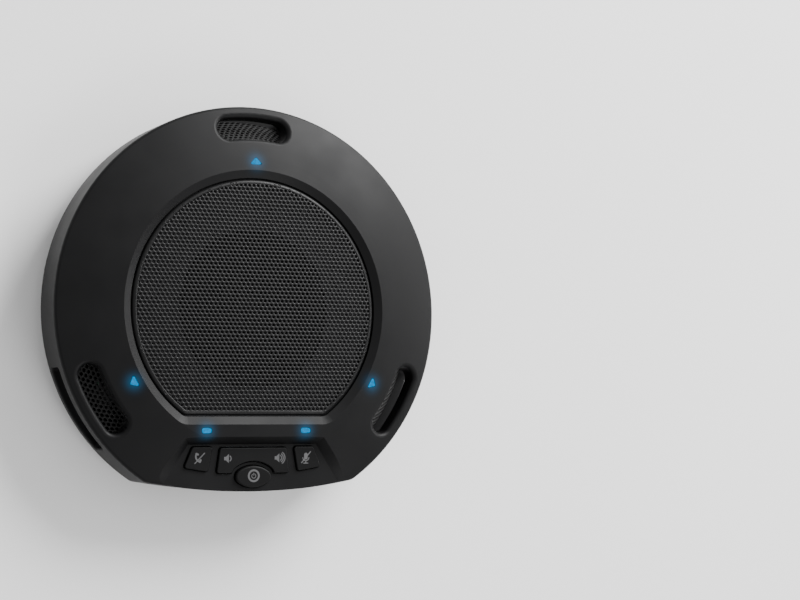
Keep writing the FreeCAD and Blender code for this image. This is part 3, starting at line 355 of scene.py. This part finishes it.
# %% Geometry nodes: inputs
def new_recipe(name, inputs):
    """A geometry-node tree with named inputs, and its input and output nodes."""
    tree = bpy.data.node_groups.new(name, "GeometryNodeTree")
    tree.interface.new_socket("Geometry", in_out="OUTPUT", socket_type="NodeSocketGeometry")
    for label, kind in inputs.items():
        tree.interface.new_socket(label, in_out="INPUT", socket_type="NodeSocket" + kind)
    return tree, add(tree, "NodeGroupInput").outputs, add(tree, "NodeGroupOutput").inputs


def make_from(recipe, name, values):
    """A plain mesh object from the tree, with its inputs set by identifier and its faces turned outwards."""
    carrier = bpy.data.objects.new(name, bpy.data.meshes.new(name))
    bpy.context.scene.collection.objects.link(carrier)
    modifier = carrier.modifiers.new("recipe", "NODES")
    modifier.node_group = recipe
    for item in recipe.interface.items_tree:
        if item.in_out == "INPUT":
            modifier[item.identifier] = values[item.name]
    graph = bpy.context.evaluated_depsgraph_get()
    mesh = bpy.data.meshes.new_from_object(carrier.evaluated_get(graph), depsgraph=graph)
    carrier.modifiers.remove(modifier)
    carrier.data = mesh
    mesh.name = name
    cleaned = bmesh.new()
    cleaned.from_mesh(mesh)
    bmesh.ops.recalc_face_normals(cleaned, faces=cleaned.faces)
    cleaned.to_mesh(mesh)
    open_edges = sum(1 for e in cleaned.edges if len(e.link_faces) != 2)
    triangles = sum(len(f.verts) - 2 for f in cleaned.faces)
    cleaned.free()
    print(name, triangles, "triangles,", open_edges, "open edges")
    return carrier


# %% Geometry nodes: one cell and the lattice
HOLE_SIDES = 12


def hexagon_cell(tree, pitch, hole):
    """A flat ring from a round hole out to the hexagon round it."""
    circle = add(tree, "GeometryNodeMeshCircle", fill_type="NONE")
    circle.inputs["Vertices"].default_value = HOLE_SIDES
    feed(tree, circle.inputs["Radius"], hole)
    grown = add(tree, "GeometryNodeExtrudeMesh", mode="EDGES")
    feed(tree, grown.inputs["Mesh"], circle.outputs["Mesh"])
    grown.inputs["Offset Scale"].default_value = 0.0
    at = add(tree, "ShaderNodeSeparateXYZ")
    feed(tree, at.inputs[0], add(tree, "GeometryNodeInputPosition").outputs[0])
    turn = sums(tree, "ARCTAN2", at.outputs[1], at.outputs[0])
    folded = sums(tree, "FLOORED_MODULO", sums(tree, "ADD", turn, math.pi / 6), math.pi / 3)
    reach = sums(tree, "DIVIDE", sums(tree, "MULTIPLY", pitch, 0.5),
                 sums(tree, "COSINE", sums(tree, "SUBTRACT", folded, math.pi / 6)))
    corner = add(tree, "ShaderNodeCombineXYZ")
    feed(tree, corner.inputs[0], sums(tree, "MULTIPLY", reach, sums(tree, "COSINE", turn)))
    feed(tree, corner.inputs[1], sums(tree, "MULTIPLY", reach, sums(tree, "SINE", turn)))
    spread = add(tree, "GeometryNodeSetPosition")
    feed(tree, spread.inputs["Geometry"], grown.outputs["Mesh"])
    feed(tree, spread.inputs["Selection"], grown.outputs["Top"])
    feed(tree, spread.inputs["Position"], corner.outputs[0])
    return spread.outputs[0]


def staggered_points(tree, pitch, half_width, half_height):
    """Rows of points, every other row shifted by half a pitch."""
    row_step = sums(tree, "MULTIPLY", pitch, math.sqrt(3) / 2)
    columns = sums(tree, "CEIL", sums(tree, "DIVIDE", half_width, pitch))
    rows = sums(tree, "CEIL", sums(tree, "DIVIDE", half_height, row_step))
    grid = add(tree, "GeometryNodeMeshGrid")
    feed(tree, grid.inputs["Size X"], sums(tree, "MULTIPLY", sums(tree, "MULTIPLY", columns, pitch), 2.0))
    feed(tree, grid.inputs["Size Y"], sums(tree, "MULTIPLY", sums(tree, "MULTIPLY", rows, row_step), 2.0))
    feed(tree, grid.inputs["Vertices X"], sums(tree, "ADD", sums(tree, "MULTIPLY", columns, 2.0), 1.0))
    feed(tree, grid.inputs["Vertices Y"], sums(tree, "ADD", sums(tree, "MULTIPLY", rows, 2.0), 1.0))
    at = add(tree, "ShaderNodeSeparateXYZ")
    feed(tree, at.inputs[0], add(tree, "GeometryNodeInputPosition").outputs[0])
    row = sums(tree, "ROUND", sums(tree, "DIVIDE", at.outputs[1], row_step))
    odd = sums(tree, "FLOORED_MODULO", row, 2.0)
    shift = add(tree, "ShaderNodeCombineXYZ")
    feed(tree, shift.inputs[0], sums(tree, "MULTIPLY", odd, sums(tree, "MULTIPLY", pitch, 0.5)))
    moved = add(tree, "GeometryNodeSetPosition")
    feed(tree, moved.inputs["Geometry"], grid.outputs["Mesh"])
    feed(tree, moved.inputs["Offset"], shift.outputs[0])
    return moved.outputs[0]


# %% Geometry nodes: fill, bend and thicken
def without(tree, points, outside):
    """The points that lie inside the outline."""
    kept = add(tree, "GeometryNodeDeleteGeometry", domain="POINT")
    feed(tree, kept.inputs["Geometry"], points)
    feed(tree, kept.inputs["Selection"], outside)
    return kept.outputs[0]


def flat_sheet(tree, points, cell):
    """The cell at every point, joined into one flat sheet."""
    placed = add(tree, "GeometryNodeInstanceOnPoints")
    feed(tree, placed.inputs["Points"], points)
    feed(tree, placed.inputs["Instance"], cell)
    real = add(tree, "GeometryNodeRealizeInstances")
    feed(tree, real.inputs[0], placed.outputs[0])
    joined = add(tree, "GeometryNodeMergeByDistance")
    feed(tree, joined.inputs["Geometry"], real.outputs[0])
    joined.inputs["Distance"].default_value = 0.00005
    return joined.outputs[0]


def thick_sheet(tree, sheet, thickness, material, output):
    """A second skin below the first, walls between the two, and the finish."""
    pushed = add(tree, "GeometryNodeExtrudeMesh", mode="FACES")
    feed(tree, pushed.inputs["Mesh"], sheet)
    feed(tree, pushed.inputs["Offset Scale"], thickness)
    pushed.inputs["Individual"].default_value = False
    turned = add(tree, "GeometryNodeFlipFaces")
    feed(tree, turned.inputs[0], sheet)
    both = add(tree, "GeometryNodeJoinGeometry")
    feed(tree, both.inputs[0], pushed.outputs["Mesh"])
    feed(tree, both.inputs[0], turned.outputs[0])
    welded = add(tree, "GeometryNodeMergeByDistance")
    feed(tree, welded.inputs["Geometry"], both.outputs[0])
    welded.inputs["Distance"].default_value = 0.00001
    real = add(tree, "GeometryNodeRealizeInstances")
    feed(tree, real.inputs[0], welded.outputs[0])
    finished = add(tree, "GeometryNodeSetMaterial")
    feed(tree, finished.inputs["Geometry"], real.outputs[0])
    feed(tree, finished.inputs["Material"], material)
    feed(tree, output[0], finished.outputs[0])


# %% [markdown]
# The grille's outline is a circle with its front cut off straight and the two corners rounded. Its size is
# read from the frame. The holes stop a little short of the edge, where the sheet is rolled down, and that
# plain rolled rim is a piece of its own, drawn as rows of the outline, each a little further in.

# %% Grille outline
grille_low, grille_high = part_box("speaker_grille")
GRILLE_RADIUS = grille_high[0]
GRILLE_FRONT = -grille_low[1]
GRILLE_CORNER = 4.0 * MM
GRILLE_SEAT = grille_low[2]
GRILLE_RISE, GRILLE_CROWN = 2.2 * MM, 0.9 * MM
SHEET = 0.8 * MM
crown_radius = (GRILLE_RADIUS ** 2 + GRILLE_CROWN ** 2) / (2 * GRILLE_CROWN)
crown_middle = GRILLE_SEAT + GRILLE_RISE + GRILLE_CROWN - crown_radius


def corner_middle(inset):
    """Where a rounded corner of the outline has its centre."""
    up = GRILLE_CORNER - GRILLE_FRONT
    return math.sqrt((GRILLE_RADIUS - GRILLE_CORNER) ** 2 - up ** 2), up


def outline(inset, height, rounds=180, bend=16, straight=24):
    """The outline moved in by inset, as a ring of points."""
    cx, cy = corner_middle(0)
    radius, corner = GRILLE_RADIUS - inset, max(GRILLE_CORNER - inset, 0.0003)
    start = math.atan2(cy, cx)
    points = []
    for i in range(rounds):
        a = start + (math.pi - 2 * start) * i / rounds
        points.append((radius * math.cos(a), radius * math.sin(a)))
    for i in range(bend):
        a = math.pi - start + (math.pi * 1.5 - (math.pi - start)) * i / bend
        points.append((-cx + corner * math.cos(a), cy + corner * math.sin(a)))
    for i in range(straight):
        points.append((-cx + 2 * cx * i / straight, cy - corner))
    for i in range(bend):
        a = -math.pi / 2 + (start + math.pi / 2) * i / bend
        points.append((cx + corner * math.cos(a), cy + corner * math.sin(a)))
    return [Vector((x, y, height(x, y) if callable(height) else height)) for x, y in points]


def crown(x, y):
    """The grille's domed surface."""
    return crown_middle + math.sqrt(crown_radius ** 2 - x * x - y * y)


print("grille", round(GRILLE_RADIUS / MM, 2), "mm, front side at", round(GRILLE_FRONT / MM, 2), "mm")

# %% Perforated grille sheet
EDGE_PLAIN = 1.5 * MM


def grille_recipe():
    tree, given, output = new_recipe("perforated_grille", {
        "Pitch": "Float", "Hole radius": "Float", "Radius": "Float", "Front": "Float", "Corner": "Float",
        "Corner X": "Float", "Corner Y": "Float", "Crown radius": "Float", "Crown middle": "Float",
        "Thickness": "Float", "Finish": "Material"})
    points = staggered_points(tree, given["Pitch"], given["Radius"], given["Radius"])
    at = add(tree, "ShaderNodeSeparateXYZ")
    feed(tree, at.inputs[0], add(tree, "GeometryNodeInputPosition").outputs[0])
    x, y = sums(tree, "ABSOLUTE", at.outputs[0]), at.outputs[1]
    squared = sums(tree, "ADD", sums(tree, "POWER", x, 2.0), sums(tree, "MULTIPLY", y, y))
    too_far = sums(tree, "GREATER_THAN", sums(tree, "SQRT", squared), given["Radius"])
    too_low = sums(tree, "LESS_THAN", y, sums(tree, "MULTIPLY", given["Front"], -1.0))
    across, along = sums(tree, "SUBTRACT", x, given["Corner X"]), sums(tree, "SUBTRACT", y, given["Corner Y"])
    gap = sums(tree, "SQRT", sums(tree, "ADD", sums(tree, "MULTIPLY", across, across),
                                  sums(tree, "MULTIPLY", along, along)))
    past = sums(tree, "GREATER_THAN", gap, given["Corner"])
    beside = sums(tree, "GREATER_THAN", x, given["Corner X"])
    below = sums(tree, "GREATER_THAN", sums(tree, "MULTIPLY", x, given["Corner Y"]),
                 sums(tree, "MULTIPLY", y, given["Corner X"]))
    in_corner = sums(tree, "MULTIPLY", sums(tree, "MULTIPLY", past, beside), below)
    any_side = sums(tree, "ADD", sums(tree, "ADD", too_far, too_low), in_corner)
    outside = sums(tree, "GREATER_THAN", any_side, 0.5)
    cell = hexagon_cell(tree, given["Pitch"], given["Hole radius"])
    sheet = flat_sheet(tree, without(tree, points, outside), cell)
    height = sums(tree, "ADD", given["Crown middle"], sums(tree, "SQRT", sums(
        tree, "SUBTRACT", sums(tree, "MULTIPLY", given["Crown radius"], given["Crown radius"]), squared)))
    raised = add(tree, "ShaderNodeCombineXYZ")
    feed(tree, raised.inputs[2], height)
    domed = add(tree, "GeometryNodeSetPosition")
    feed(tree, domed.inputs["Geometry"], sheet)
    feed(tree, domed.inputs["Offset"], raised.outputs[0])
    thick_sheet(tree, domed.outputs[0], given["Thickness"], given["Finish"], output)
    return tree


corner_x, corner_y = corner_middle(0)
grille_sheet = make_from(grille_recipe(), "grille_sheet", {
    "Pitch": 2.0 * MM, "Hole radius": 0.66 * MM, "Radius": GRILLE_RADIUS - EDGE_PLAIN,
    "Front": GRILLE_FRONT - EDGE_PLAIN, "Corner": GRILLE_CORNER - EDGE_PLAIN, "Corner X": corner_x,
    "Corner Y": corner_y, "Crown radius": crown_radius, "Crown middle": crown_middle,
    "Thickness": -SHEET, "Finish": grille_paint})

# %% Rolled rim of the grille
def rim_rows():
    """Rows of the outline from the sheet's top, over the roll, down to the seat and back up inside."""
    roll = 1.5 * MM
    rows = [outline(1.9 * MM, lambda x, y: crown(x, y) + 0.02 * MM), outline(roll, crown)]
    edge_top = crown(0, GRILLE_RADIUS - roll)
    for i in range(1, 9):
        a = math.radians(90 * i / 8)
        rows.append(outline(roll * (1 - math.sin(a)), edge_top - roll * (1 - math.cos(a))))
    rows.append(outline(0.0, GRILLE_SEAT))
    rows.append(outline(SHEET, GRILLE_SEAT))
    rows.append(outline(SHEET, edge_top - roll))
    for i in range(1, 5):
        a = math.radians(90 * i / 4)
        inner = roll - SHEET
        rows.append(outline(SHEET + inner * (1 - math.cos(a)), edge_top - roll + inner * math.sin(a)))
    rows.append(outline(1.9 * MM, lambda x, y: crown(x, y) - SHEET - 0.02 * MM))
    return rows


def ring_mesh(name, rows):
    """A closed ring: each row joined to the next, and the last to the first."""
    shape = bmesh.new()
    loops = [[shape.verts.new(p) for p in row] for row in rows]
    for a, b in zip(loops, loops[1:] + loops[:1]):
        for i in range(len(a)):
            j = (i + 1) % len(a)
            shape.faces.new((a[i], a[j], b[j], b[i]))
    bmesh.ops.recalc_face_normals(shape, faces=shape.faces)
    mesh = bpy.data.meshes.new(name)
    shape.to_mesh(mesh)
    shape.free()
    for face in mesh.polygons:
        face.use_smooth = True
    piece = bpy.data.objects.new(name, mesh)
    bpy.context.scene.collection.objects.link(piece)
    return piece


grille_rim = ring_mesh("grille_rim", rim_rows())
grille_rim.data.materials.append(grille_paint)
for piece in (grille_sheet, grille_rim):
    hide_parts("speaker_grille")
    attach(piece, "housing")
print("rim", len(grille_rim.data.polygons), "faces")

# %% [markdown]
# Behind each microphone bay a strip of coarser mesh leans inwards, like a piece of a cone. The same lattice
# is laid out flat, as long as the arc and as high as the slope, and then wrapped onto the cone. The strip is
# made at the rear and turned by 120 degrees for the other two bays.

# %% Microphone meshes
BAY_TOP, BAY_BOTTOM = (72.0 * MM, 35.4 * MM), (86.3 * MM, 13.0 * MM)
STRIP_LOW, STRIP_HIGH = 13.4 * MM, 33.8 * MM
STRIP_HALF_ANGLE = math.radians(14.8)
strip_lean = (BAY_BOTTOM[0] - BAY_TOP[0]) / (BAY_TOP[1] - BAY_BOTTOM[1])
strip_slope = math.hypot(1.0, strip_lean)
strip_middle_z = (STRIP_LOW + STRIP_HIGH) / 2
strip_middle_r = BAY_TOP[0] + strip_lean * (BAY_TOP[1] - strip_middle_z) - 0.05 * MM * strip_slope


def strip_recipe():
    tree, given, output = new_recipe("perforated_strip", {
        "Pitch": "Float", "Hole radius": "Float", "Half width": "Float", "Half height": "Float",
        "Middle radius": "Float", "Middle height": "Float", "Lean": "Float", "Slope": "Float",
        "Thickness": "Float", "Finish": "Material"})
    points = staggered_points(tree, given["Pitch"], given["Half width"], given["Half height"])
    at = add(tree, "ShaderNodeSeparateXYZ")
    feed(tree, at.inputs[0], add(tree, "GeometryNodeInputPosition").outputs[0])
    margin = sums(tree, "MULTIPLY", given["Pitch"], 0.58)
    wide = sums(tree, "GREATER_THAN", sums(tree, "ABSOLUTE", at.outputs[0]),
                sums(tree, "SUBTRACT", given["Half width"], margin))
    high = sums(tree, "GREATER_THAN", sums(tree, "ABSOLUTE", at.outputs[1]),
                sums(tree, "SUBTRACT", given["Half height"], margin))
    outside = sums(tree, "GREATER_THAN", sums(tree, "ADD", wide, high), 0.5)
    cell = hexagon_cell(tree, given["Pitch"], given["Hole radius"])
    sheet = flat_sheet(tree, without(tree, points, outside), cell)
    rise = sums(tree, "DIVIDE", at.outputs[1], given["Slope"])
    radius = sums(tree, "SUBTRACT", given["Middle radius"], sums(tree, "MULTIPLY", rise, given["Lean"]))
    turn = sums(tree, "DIVIDE", at.outputs[0], given["Middle radius"])
    wrapped = add(tree, "ShaderNodeCombineXYZ")
    feed(tree, wrapped.inputs[0], sums(tree, "MULTIPLY", radius, sums(tree, "SINE", turn)))
    feed(tree, wrapped.inputs[1], sums(tree, "MULTIPLY", radius, sums(tree, "COSINE", turn)))
    feed(tree, wrapped.inputs[2], sums(tree, "ADD", given["Middle height"], rise))
    bent = add(tree, "GeometryNodeSetPosition")
    feed(tree, bent.inputs["Geometry"], sheet)
    feed(tree, bent.inputs["Position"], wrapped.outputs[0])
    thick_sheet(tree, bent.outputs[0], given["Thickness"], given["Finish"], output)
    return tree


strip_tree = strip_recipe()
for bay, turn in (("rear", 0), ("left", 120), ("right", 240)):
    strip = make_from(strip_tree, "mic_strip_" + bay, {
        "Pitch": 2.5 * MM, "Hole radius": 0.85 * MM, "Half width": STRIP_HALF_ANGLE * strip_middle_r,
        "Half height": (STRIP_HIGH - STRIP_LOW) / 2 * strip_slope, "Middle radius": strip_middle_r,
        "Middle height": strip_middle_z, "Lean": strip_lean, "Slope": strip_slope,
        "Thickness": 0.7 * MM, "Finish": strip_paint})
    strip.data.transform(Matrix.Rotation(math.radians(turn), 4, "Z"))
    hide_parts("mic_mesh_" + bay)
    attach(strip, "housing")

# %% [markdown]
# The keys carry pad-printed symbols, a film of ink a few hundredths of a millimetre thick. Each symbol is
# drawn flat in the key panel's own plane from two kinds of shape, a filled outline and a stroke along a path,
# then given its thickness and laid on the sloping key top.

# %% Key panel's plane
PANEL_REAR_Y, PANEL_REAR_Z = -58.6 * MM, 34.7 * MM
joints = frame["record"]["behaviour"]["joints"]
press = Vector(next(j for j in joints if j["name"] == "call_key_press")["axis"])
PANEL_SLOPE = math.atan2(press.y, -press.z)
INK = 0.03              # half the film, in millimetres


def on_panel(x, y, lift):
    """A point of the panel's plane, in millimetres across and up the slope, lifted off it."""
    c, s = math.cos(PANEL_SLOPE), math.sin(PANEL_SLOPE)
    return Vector((x * MM, PANEL_REAR_Y + (y * c - lift * s) * MM, PANEL_REAR_Z + (y * s + lift * c) * MM))


def plate(shape, points, low, high):
    """A closed plate between two heights, from a flat outline."""
    bottom = [shape.verts.new(on_panel(x, y, low)) for x, y in points]
    top = [shape.verts.new(on_panel(x, y, high)) for x, y in points]
    shape.faces.new(top)
    shape.faces.new(bottom[::-1])
    for i in range(len(points)):
        j = (i + 1) % len(points)
        shape.faces.new((bottom[i], bottom[j], top[j], top[i]))


def stroke(path, width):
    """The outline of a line of this width along the path, with round ends."""
    left, right = [], []
    for i, (x, y) in enumerate(path):
        before, after = path[max(i - 1, 0)], path[min(i + 1, len(path) - 1)]
        dx, dy = after[0] - before[0], after[1] - before[1]
        size = math.hypot(dx, dy)
        nx, ny = -dy / size * width / 2, dx / size * width / 2
        left.append((x + nx, y + ny))
        right.append((x - nx, y - ny))
    ends = []
    for (x, y), (px, py) in ((path[-1], left[-1]), (path[0], right[0])):
        start = math.atan2(py - y, px - x)
        turns = [start - math.pi * k / 6 for k in range(1, 6)]
        ends.append([(x + width / 2 * math.cos(t), y + width / 2 * math.sin(t)) for t in turns])
    return left + ends[0] + right[::-1] + ends[1]


def arc(cx, cy, radius, start, stop, steps=14):
    turns = [math.radians(start + (stop - start) * k / steps) for k in range(steps + 1)]
    return [(cx + radius * math.cos(t), cy + radius * math.sin(t)) for t in turns]


print("panel slopes", round(math.degrees(PANEL_SLOPE), 2), "degrees")

# %% Symbols
def loudspeaker(cx, cy, waves):
    """A loudspeaker with its sound waves."""
    horn = [(-2.1, -0.75), (-1.3, -0.75), (0.1, -1.95), (0.1, 1.95), (-1.3, 0.75), (-2.1, 0.75)]
    shapes = [[(cx + x, cy + y) for x, y in horn]]
    for k in range(waves):
        reach = 1.25 + 0.8 * k
        shapes.append(stroke(arc(cx - 0.1, cy, reach, -56, 56), 0.48))
    return shapes


def crossed_handset(cx, cy):
    """A telephone handset, crossed out."""
    back = stroke(arc(cx + 0.6, cy + 0.8, 2.3, 150, 260), 0.75)
    ear = stroke([(cx - 1.45, cy + 1.9), (cx - 0.75, cy + 1.65)], 0.95)
    mouth = stroke([(cx + 0.2, cy - 1.5), (cx + 0.5, cy - 0.8)], 0.95)
    slash = stroke([(cx - 2.1, cy - 2.2), (cx + 2.3, cy + 2.2)], 0.45)
    return [back, ear, mouth, slash]


def crossed_microphone(cx, cy):
    """A microphone on its stand, crossed out."""
    capsule = arc(cx, cy + 1.1, 0.85, 0, 180, 10) + arc(cx, cy - 0.2, 0.85, 180, 360, 10)
    cradle = stroke(arc(cx, cy - 0.1, 1.45, 185, 355), 0.4)
    stem = stroke([(cx, cy - 1.6), (cx, cy - 2.5)], 0.4)
    base = stroke([(cx - 1.0, cy - 2.6), (cx + 1.0, cy - 2.6)], 0.4)
    slash = stroke([(cx - 2.0, cy - 2.4), (cx + 2.2, cy + 2.4)], 0.45)
    return [capsule, cradle, stem, base, slash]


def power_mark(cx, cy):
    """A ring with the mark for power inside it."""
    ring = [stroke(arc(cx, cy, 2.35, 0, 180, 24), 0.85), stroke(arc(cx, cy, 2.35, 180, 360, 24), 0.85)]
    hook = stroke(arc(cx, cy - 0.1, 0.95, 125, 415, 20), 0.35)
    bar = stroke([(cx, cy + 0.25), (cx, cy + 1.15)], 0.35)
    return ring + [hook, bar]


def print_symbol(name, shapes, lift, body):
    """The shapes as one film of ink on the key that moves as this body."""
    film = bmesh.new()
    for step, points in enumerate(shapes):
        plate(film, points, lift - INK, lift + INK + 0.002 * step)
    bmesh.ops.recalc_face_normals(film, faces=film.faces)
    mesh = bpy.data.meshes.new(name)
    film.to_mesh(mesh)
    film.free()
    mesh.materials.append(symbol_ink)
    piece = bpy.data.objects.new(name, mesh)
    bpy.context.scene.collection.objects.link(piece)
    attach(piece, body)
    return piece


KEY_TOP, POWER_TOP = 1.2, 1.7
symbols = [
    print_symbol("symbol_call", crossed_handset(-25.0, -5.8), KEY_TOP, "call_key"),
    print_symbol("symbol_quieter", loudspeaker(-11.6, -6.0, 1), KEY_TOP, "volume_rocker"),
    print_symbol("symbol_louder", loudspeaker(12.0, -5.9, 3), KEY_TOP, "volume_rocker"),
    print_symbol("symbol_mute", crossed_microphone(24.7, -5.7), KEY_TOP, "mute_key"),
    print_symbol("symbol_power", power_mark(0.0, -13.5), POWER_TOP, "power_key"),
]
print(len(symbols), "symbols")

# %% [markdown]
# Three soft pieces join what moves to what stays: the silicone mat under the keys, and the cone's surround
# and spider. In the phone the mat flattens as a key goes down, and each ring bends from its outer edge, which
# stays, to its inner edge, which moves with the cone. Here each is cut into closed cells: the mat into one
# cell under each key and two under the rocker, each ring into sectors. Two neighbouring sectors are mirror
# images about their shared cut.

# %% Cutting a piece of the frame into cells
def cell_of(node, name, planes):
    """A closed copy of what lies behind every plane. A plane is a point and an outward normal."""
    shape = bmesh.new()
    shape.from_mesh(nodes[node].data)
    bmesh.ops.remove_doubles(shape, verts=shape.verts, dist=1e-7)
    for point, outward in planes:
        everything = shape.verts[:] + shape.edges[:] + shape.faces[:]
        bmesh.ops.bisect_plane(
            shape, geom=everything, plane_co=point, plane_no=outward, clear_outer=True, dist=1e-8)
        bmesh.ops.holes_fill(shape, edges=[e for e in shape.edges if e.is_boundary], sides=0)
    bmesh.ops.recalc_face_normals(shape, faces=shape.faces)
    mesh = bpy.data.meshes.new(name)
    shape.to_mesh(mesh)
    shape.free()
    cell = bpy.data.objects.new(name, mesh)
    bpy.context.scene.collection.objects.link(cell)
    return cell


def finish_cell(cell, node, material):
    cell.data.materials.clear()
    cell.data.materials.append(material)
    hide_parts(node)


# %% Mat cells
SIDE_CUT, FRONT_CUT = 17.5, -10.75
across = Vector((1, 0, 0))
up_slope = Vector((0, math.cos(PANEL_SLOPE), math.sin(PANEL_SLOPE)))


def side_plane(x, way):
    return on_panel(x, 0, 0), across * way


front_of_cut = (on_panel(0, FRONT_CUT, 0), up_slope)
behind_cut = (on_panel(0, FRONT_CUT, 0), -up_slope)
mat_cells = [
    ("call", "call_key_press", [side_plane(-SIDE_CUT, 1)]),
    ("mute", "mute_key_press", [side_plane(SIDE_CUT, -1)]),
    ("power", "power_key_press", [side_plane(-SIDE_CUT, -1), side_plane(SIDE_CUT, 1), front_of_cut]),
    ("quieter", "volume_rock", [side_plane(-SIDE_CUT, -1), side_plane(0, 1), behind_cut]),
    ("louder", "volume_rock", [side_plane(0, -1), side_plane(SIDE_CUT, 1), behind_cut]),
]
for label, joint, planes in mat_cells:
    cell = cell_of("key_mat", "mat_" + label, planes)
    finish_cell(cell, "key_mat", mat_silicone)
    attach(cell, "housing")
    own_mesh(cell)
    print(cell.name, len(cell.data.polygons), "faces")

# %% Sectors of the surround and the spider
SECTORS = 12


def bending_ring(node, material, inner, outer):
    """The ring cut into closed sectors, each with its finish."""
    half = math.pi / SECTORS
    for k in range(SECTORS):
        middle = 2 * half * k
        planes = [(Vector((0, 0, 0)), Vector((math.sin(middle - half), -math.cos(middle - half), 0))),
                  (Vector((0, 0, 0)), Vector((-math.sin(middle + half), math.cos(middle + half), 0)))]
        cell = cell_of(node, f"{node}_{k + 1}", planes)
        finish_cell(cell, node, material)
        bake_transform(cell)
    print(node, "in", SECTORS, "sectors from", round(inner / MM, 1), "to", round(outer / MM, 1), "mm")


SURROUND_IN, SURROUND_OUT = 29.8 * MM, 33.9 * MM
SPIDER_IN, SPIDER_OUT = 10.9 * MM, 21.7 * MM
bending_ring("speaker_surround", foot_rubber, SURROUND_IN, SURROUND_OUT)
bending_ring("speaker_spider", spider_cloth, SPIDER_IN, SPIDER_OUT)

# %% [markdown]
# Now every piece of the frame gets its finish. A table from finish to pieces is easier to check than a line
# of code for each, and the script stops if a piece has been forgotten.

# %% Finishes of the frame's pieces
FINISHES = [
    (cover_plastic, ["top_cover"]),
    (case_plastic, ["bottom_case"]),
    (key_plastic, ["call_key", "mute_key", "power_key", "volume_rocker"]),
    (guide_finish, LIGHTS),
    (inner_plastic, ["speaker_chamber"]),
    (grille_paint, ["speaker_grille"]),
    (strip_paint, ["mic_mesh_rear", "mic_mesh_left", "mic_mesh_right"]),
    (screw_zinc, ["case_screws", "light_board_screws", "speaker_screws", "chamber_screws",
                  "main_board_screws"]),
    (can_tin, ["radio_module", "usb_socket", "mic_capsule_rear", "mic_capsule_left", "mic_capsule_right"]),
    (pole_steel, ["speaker_pole_piece", "speaker_top_plate"]),
    (coil_copper, ["speaker_voice_coil"]),
    (foot_rubber, ["foot_rear_right", "foot_rear_left", "foot_front_left", "foot_front_right",
                   "speaker_surround", "mic_boot_rear", "mic_boot_left", "mic_boot_right"]),
    (mat_silicone, ["key_mat"]),
    (seal_foam, ["speaker_gasket", "battery_pad"]),
    (cone_paper, ["speaker_cone", "speaker_dust_cap"]),
    (spider_cloth, ["speaker_spider"]),
    (basket_paint, ["speaker_frame"]),
    (magnet_ferrite, ["speaker_magnet"]),
    (chip_resin, ["main_processor", "board_chips", "aux_jack"]),
    (battery_sleeve, ["battery_pack"]),
    (lead_sleeve, ["battery_leads", "key_leads"]),
    (chip_diffuser, ["light_chips"]),
    (board_mask, ["main_board", "light_board", "key_board", "mic_board_rear", "mic_board_left",
                  "mic_board_right"]),
]
finished = set()
for material, members in FINISHES:
    for member in members:
        nodes[member].data.materials.clear()
        nodes[member].data.materials.append(material)
        finished.add(member)
forgotten = set(nodes) - finished
if forgotten:
    raise ValueError(f"no finish for {sorted(forgotten)}")
print(len(finished), "pieces of the frame finished")

# %% [markdown]
# The frame's cover is cut into many small faces round its rounded openings. Weighting each normal by the size
# of its faces lets the large smooth faces win, so no small face shows as a dent beside an opening.

# %% Even shading on the mouldings
for member in ("top_cover", "bottom_case", "speaker_chamber"):
    even = nodes[member].modifiers.new("even_shading", "WEIGHTED_NORMAL")
    even.mode = "FACE_AREA"
    even.keep_sharp = True
print("normals weighted by area")

# %% [markdown]
# A pale floor, a broad soft light from behind and above, and two weak ones, from the right and from the
# front: the cover then shades from light at its rear and right to dark at its front left, and the bevel's
# front side catches the light.

# %% Floor
def make_floor():
    """A wide sheet a hair below the feet, so that the two don't share a plane."""
    mesh = bpy.data.meshes.new("floor")
    half, down = 3.0, -0.05 * MM
    corners = [(-half, -half, down), (half, -half, down), (half, half, down), (-half, half, down)]
    mesh.from_pydata(corners, [], [(0, 1, 2, 3)])
    floor = bpy.data.objects.new("floor", mesh)
    bpy.context.scene.collection.objects.link(floor)
    material, tree, shader = new_finish("floor_paper", 0.9)
    paper = tint(tree, speckle(tree, 0.4), (0.86, 0.86, 0.86), (0.9, 0.9, 0.9))
    feed(tree, shader.inputs["Base Color"], paper)
    mesh.materials.append(material)


make_floor()


# %% Lights
def soft_light(name, place_at, aim, size, power, colour=(1, 1, 1)):
    data = bpy.data.lights.new(name, "AREA")
    data.shape, data.size, data.energy, data.color = "DISK", size, power, colour
    lamp = bpy.data.objects.new(name, data)
    lamp.location = place_at
    lamp.rotation_euler = (Vector(aim) - Vector(place_at)).to_track_quat("-Z", "Y").to_euler()
    bpy.context.scene.collection.objects.link(lamp)
    return lamp


soft_light("rear_light", (0.90, 1.00, 0.85), (0, 0, 0.03), 1.0, 60.0)
soft_light("right_light", (1.3, 0.1, 0.4), (0, 0, 0.03), 0.5, 6.0)
soft_light("front_fill", (0.5, -0.9, 1.1), (0, 0, 0.03), 0.7, 6.0)

world = bpy.data.worlds.new("studio")
world.use_nodes = True
world.node_tree.nodes["Background"].inputs["Color"].default_value = (1, 1, 1, 1)
world.node_tree.nodes["Background"].inputs["Strength"].default_value = 0.78
bpy.context.scene.world = world
print("studio ready")
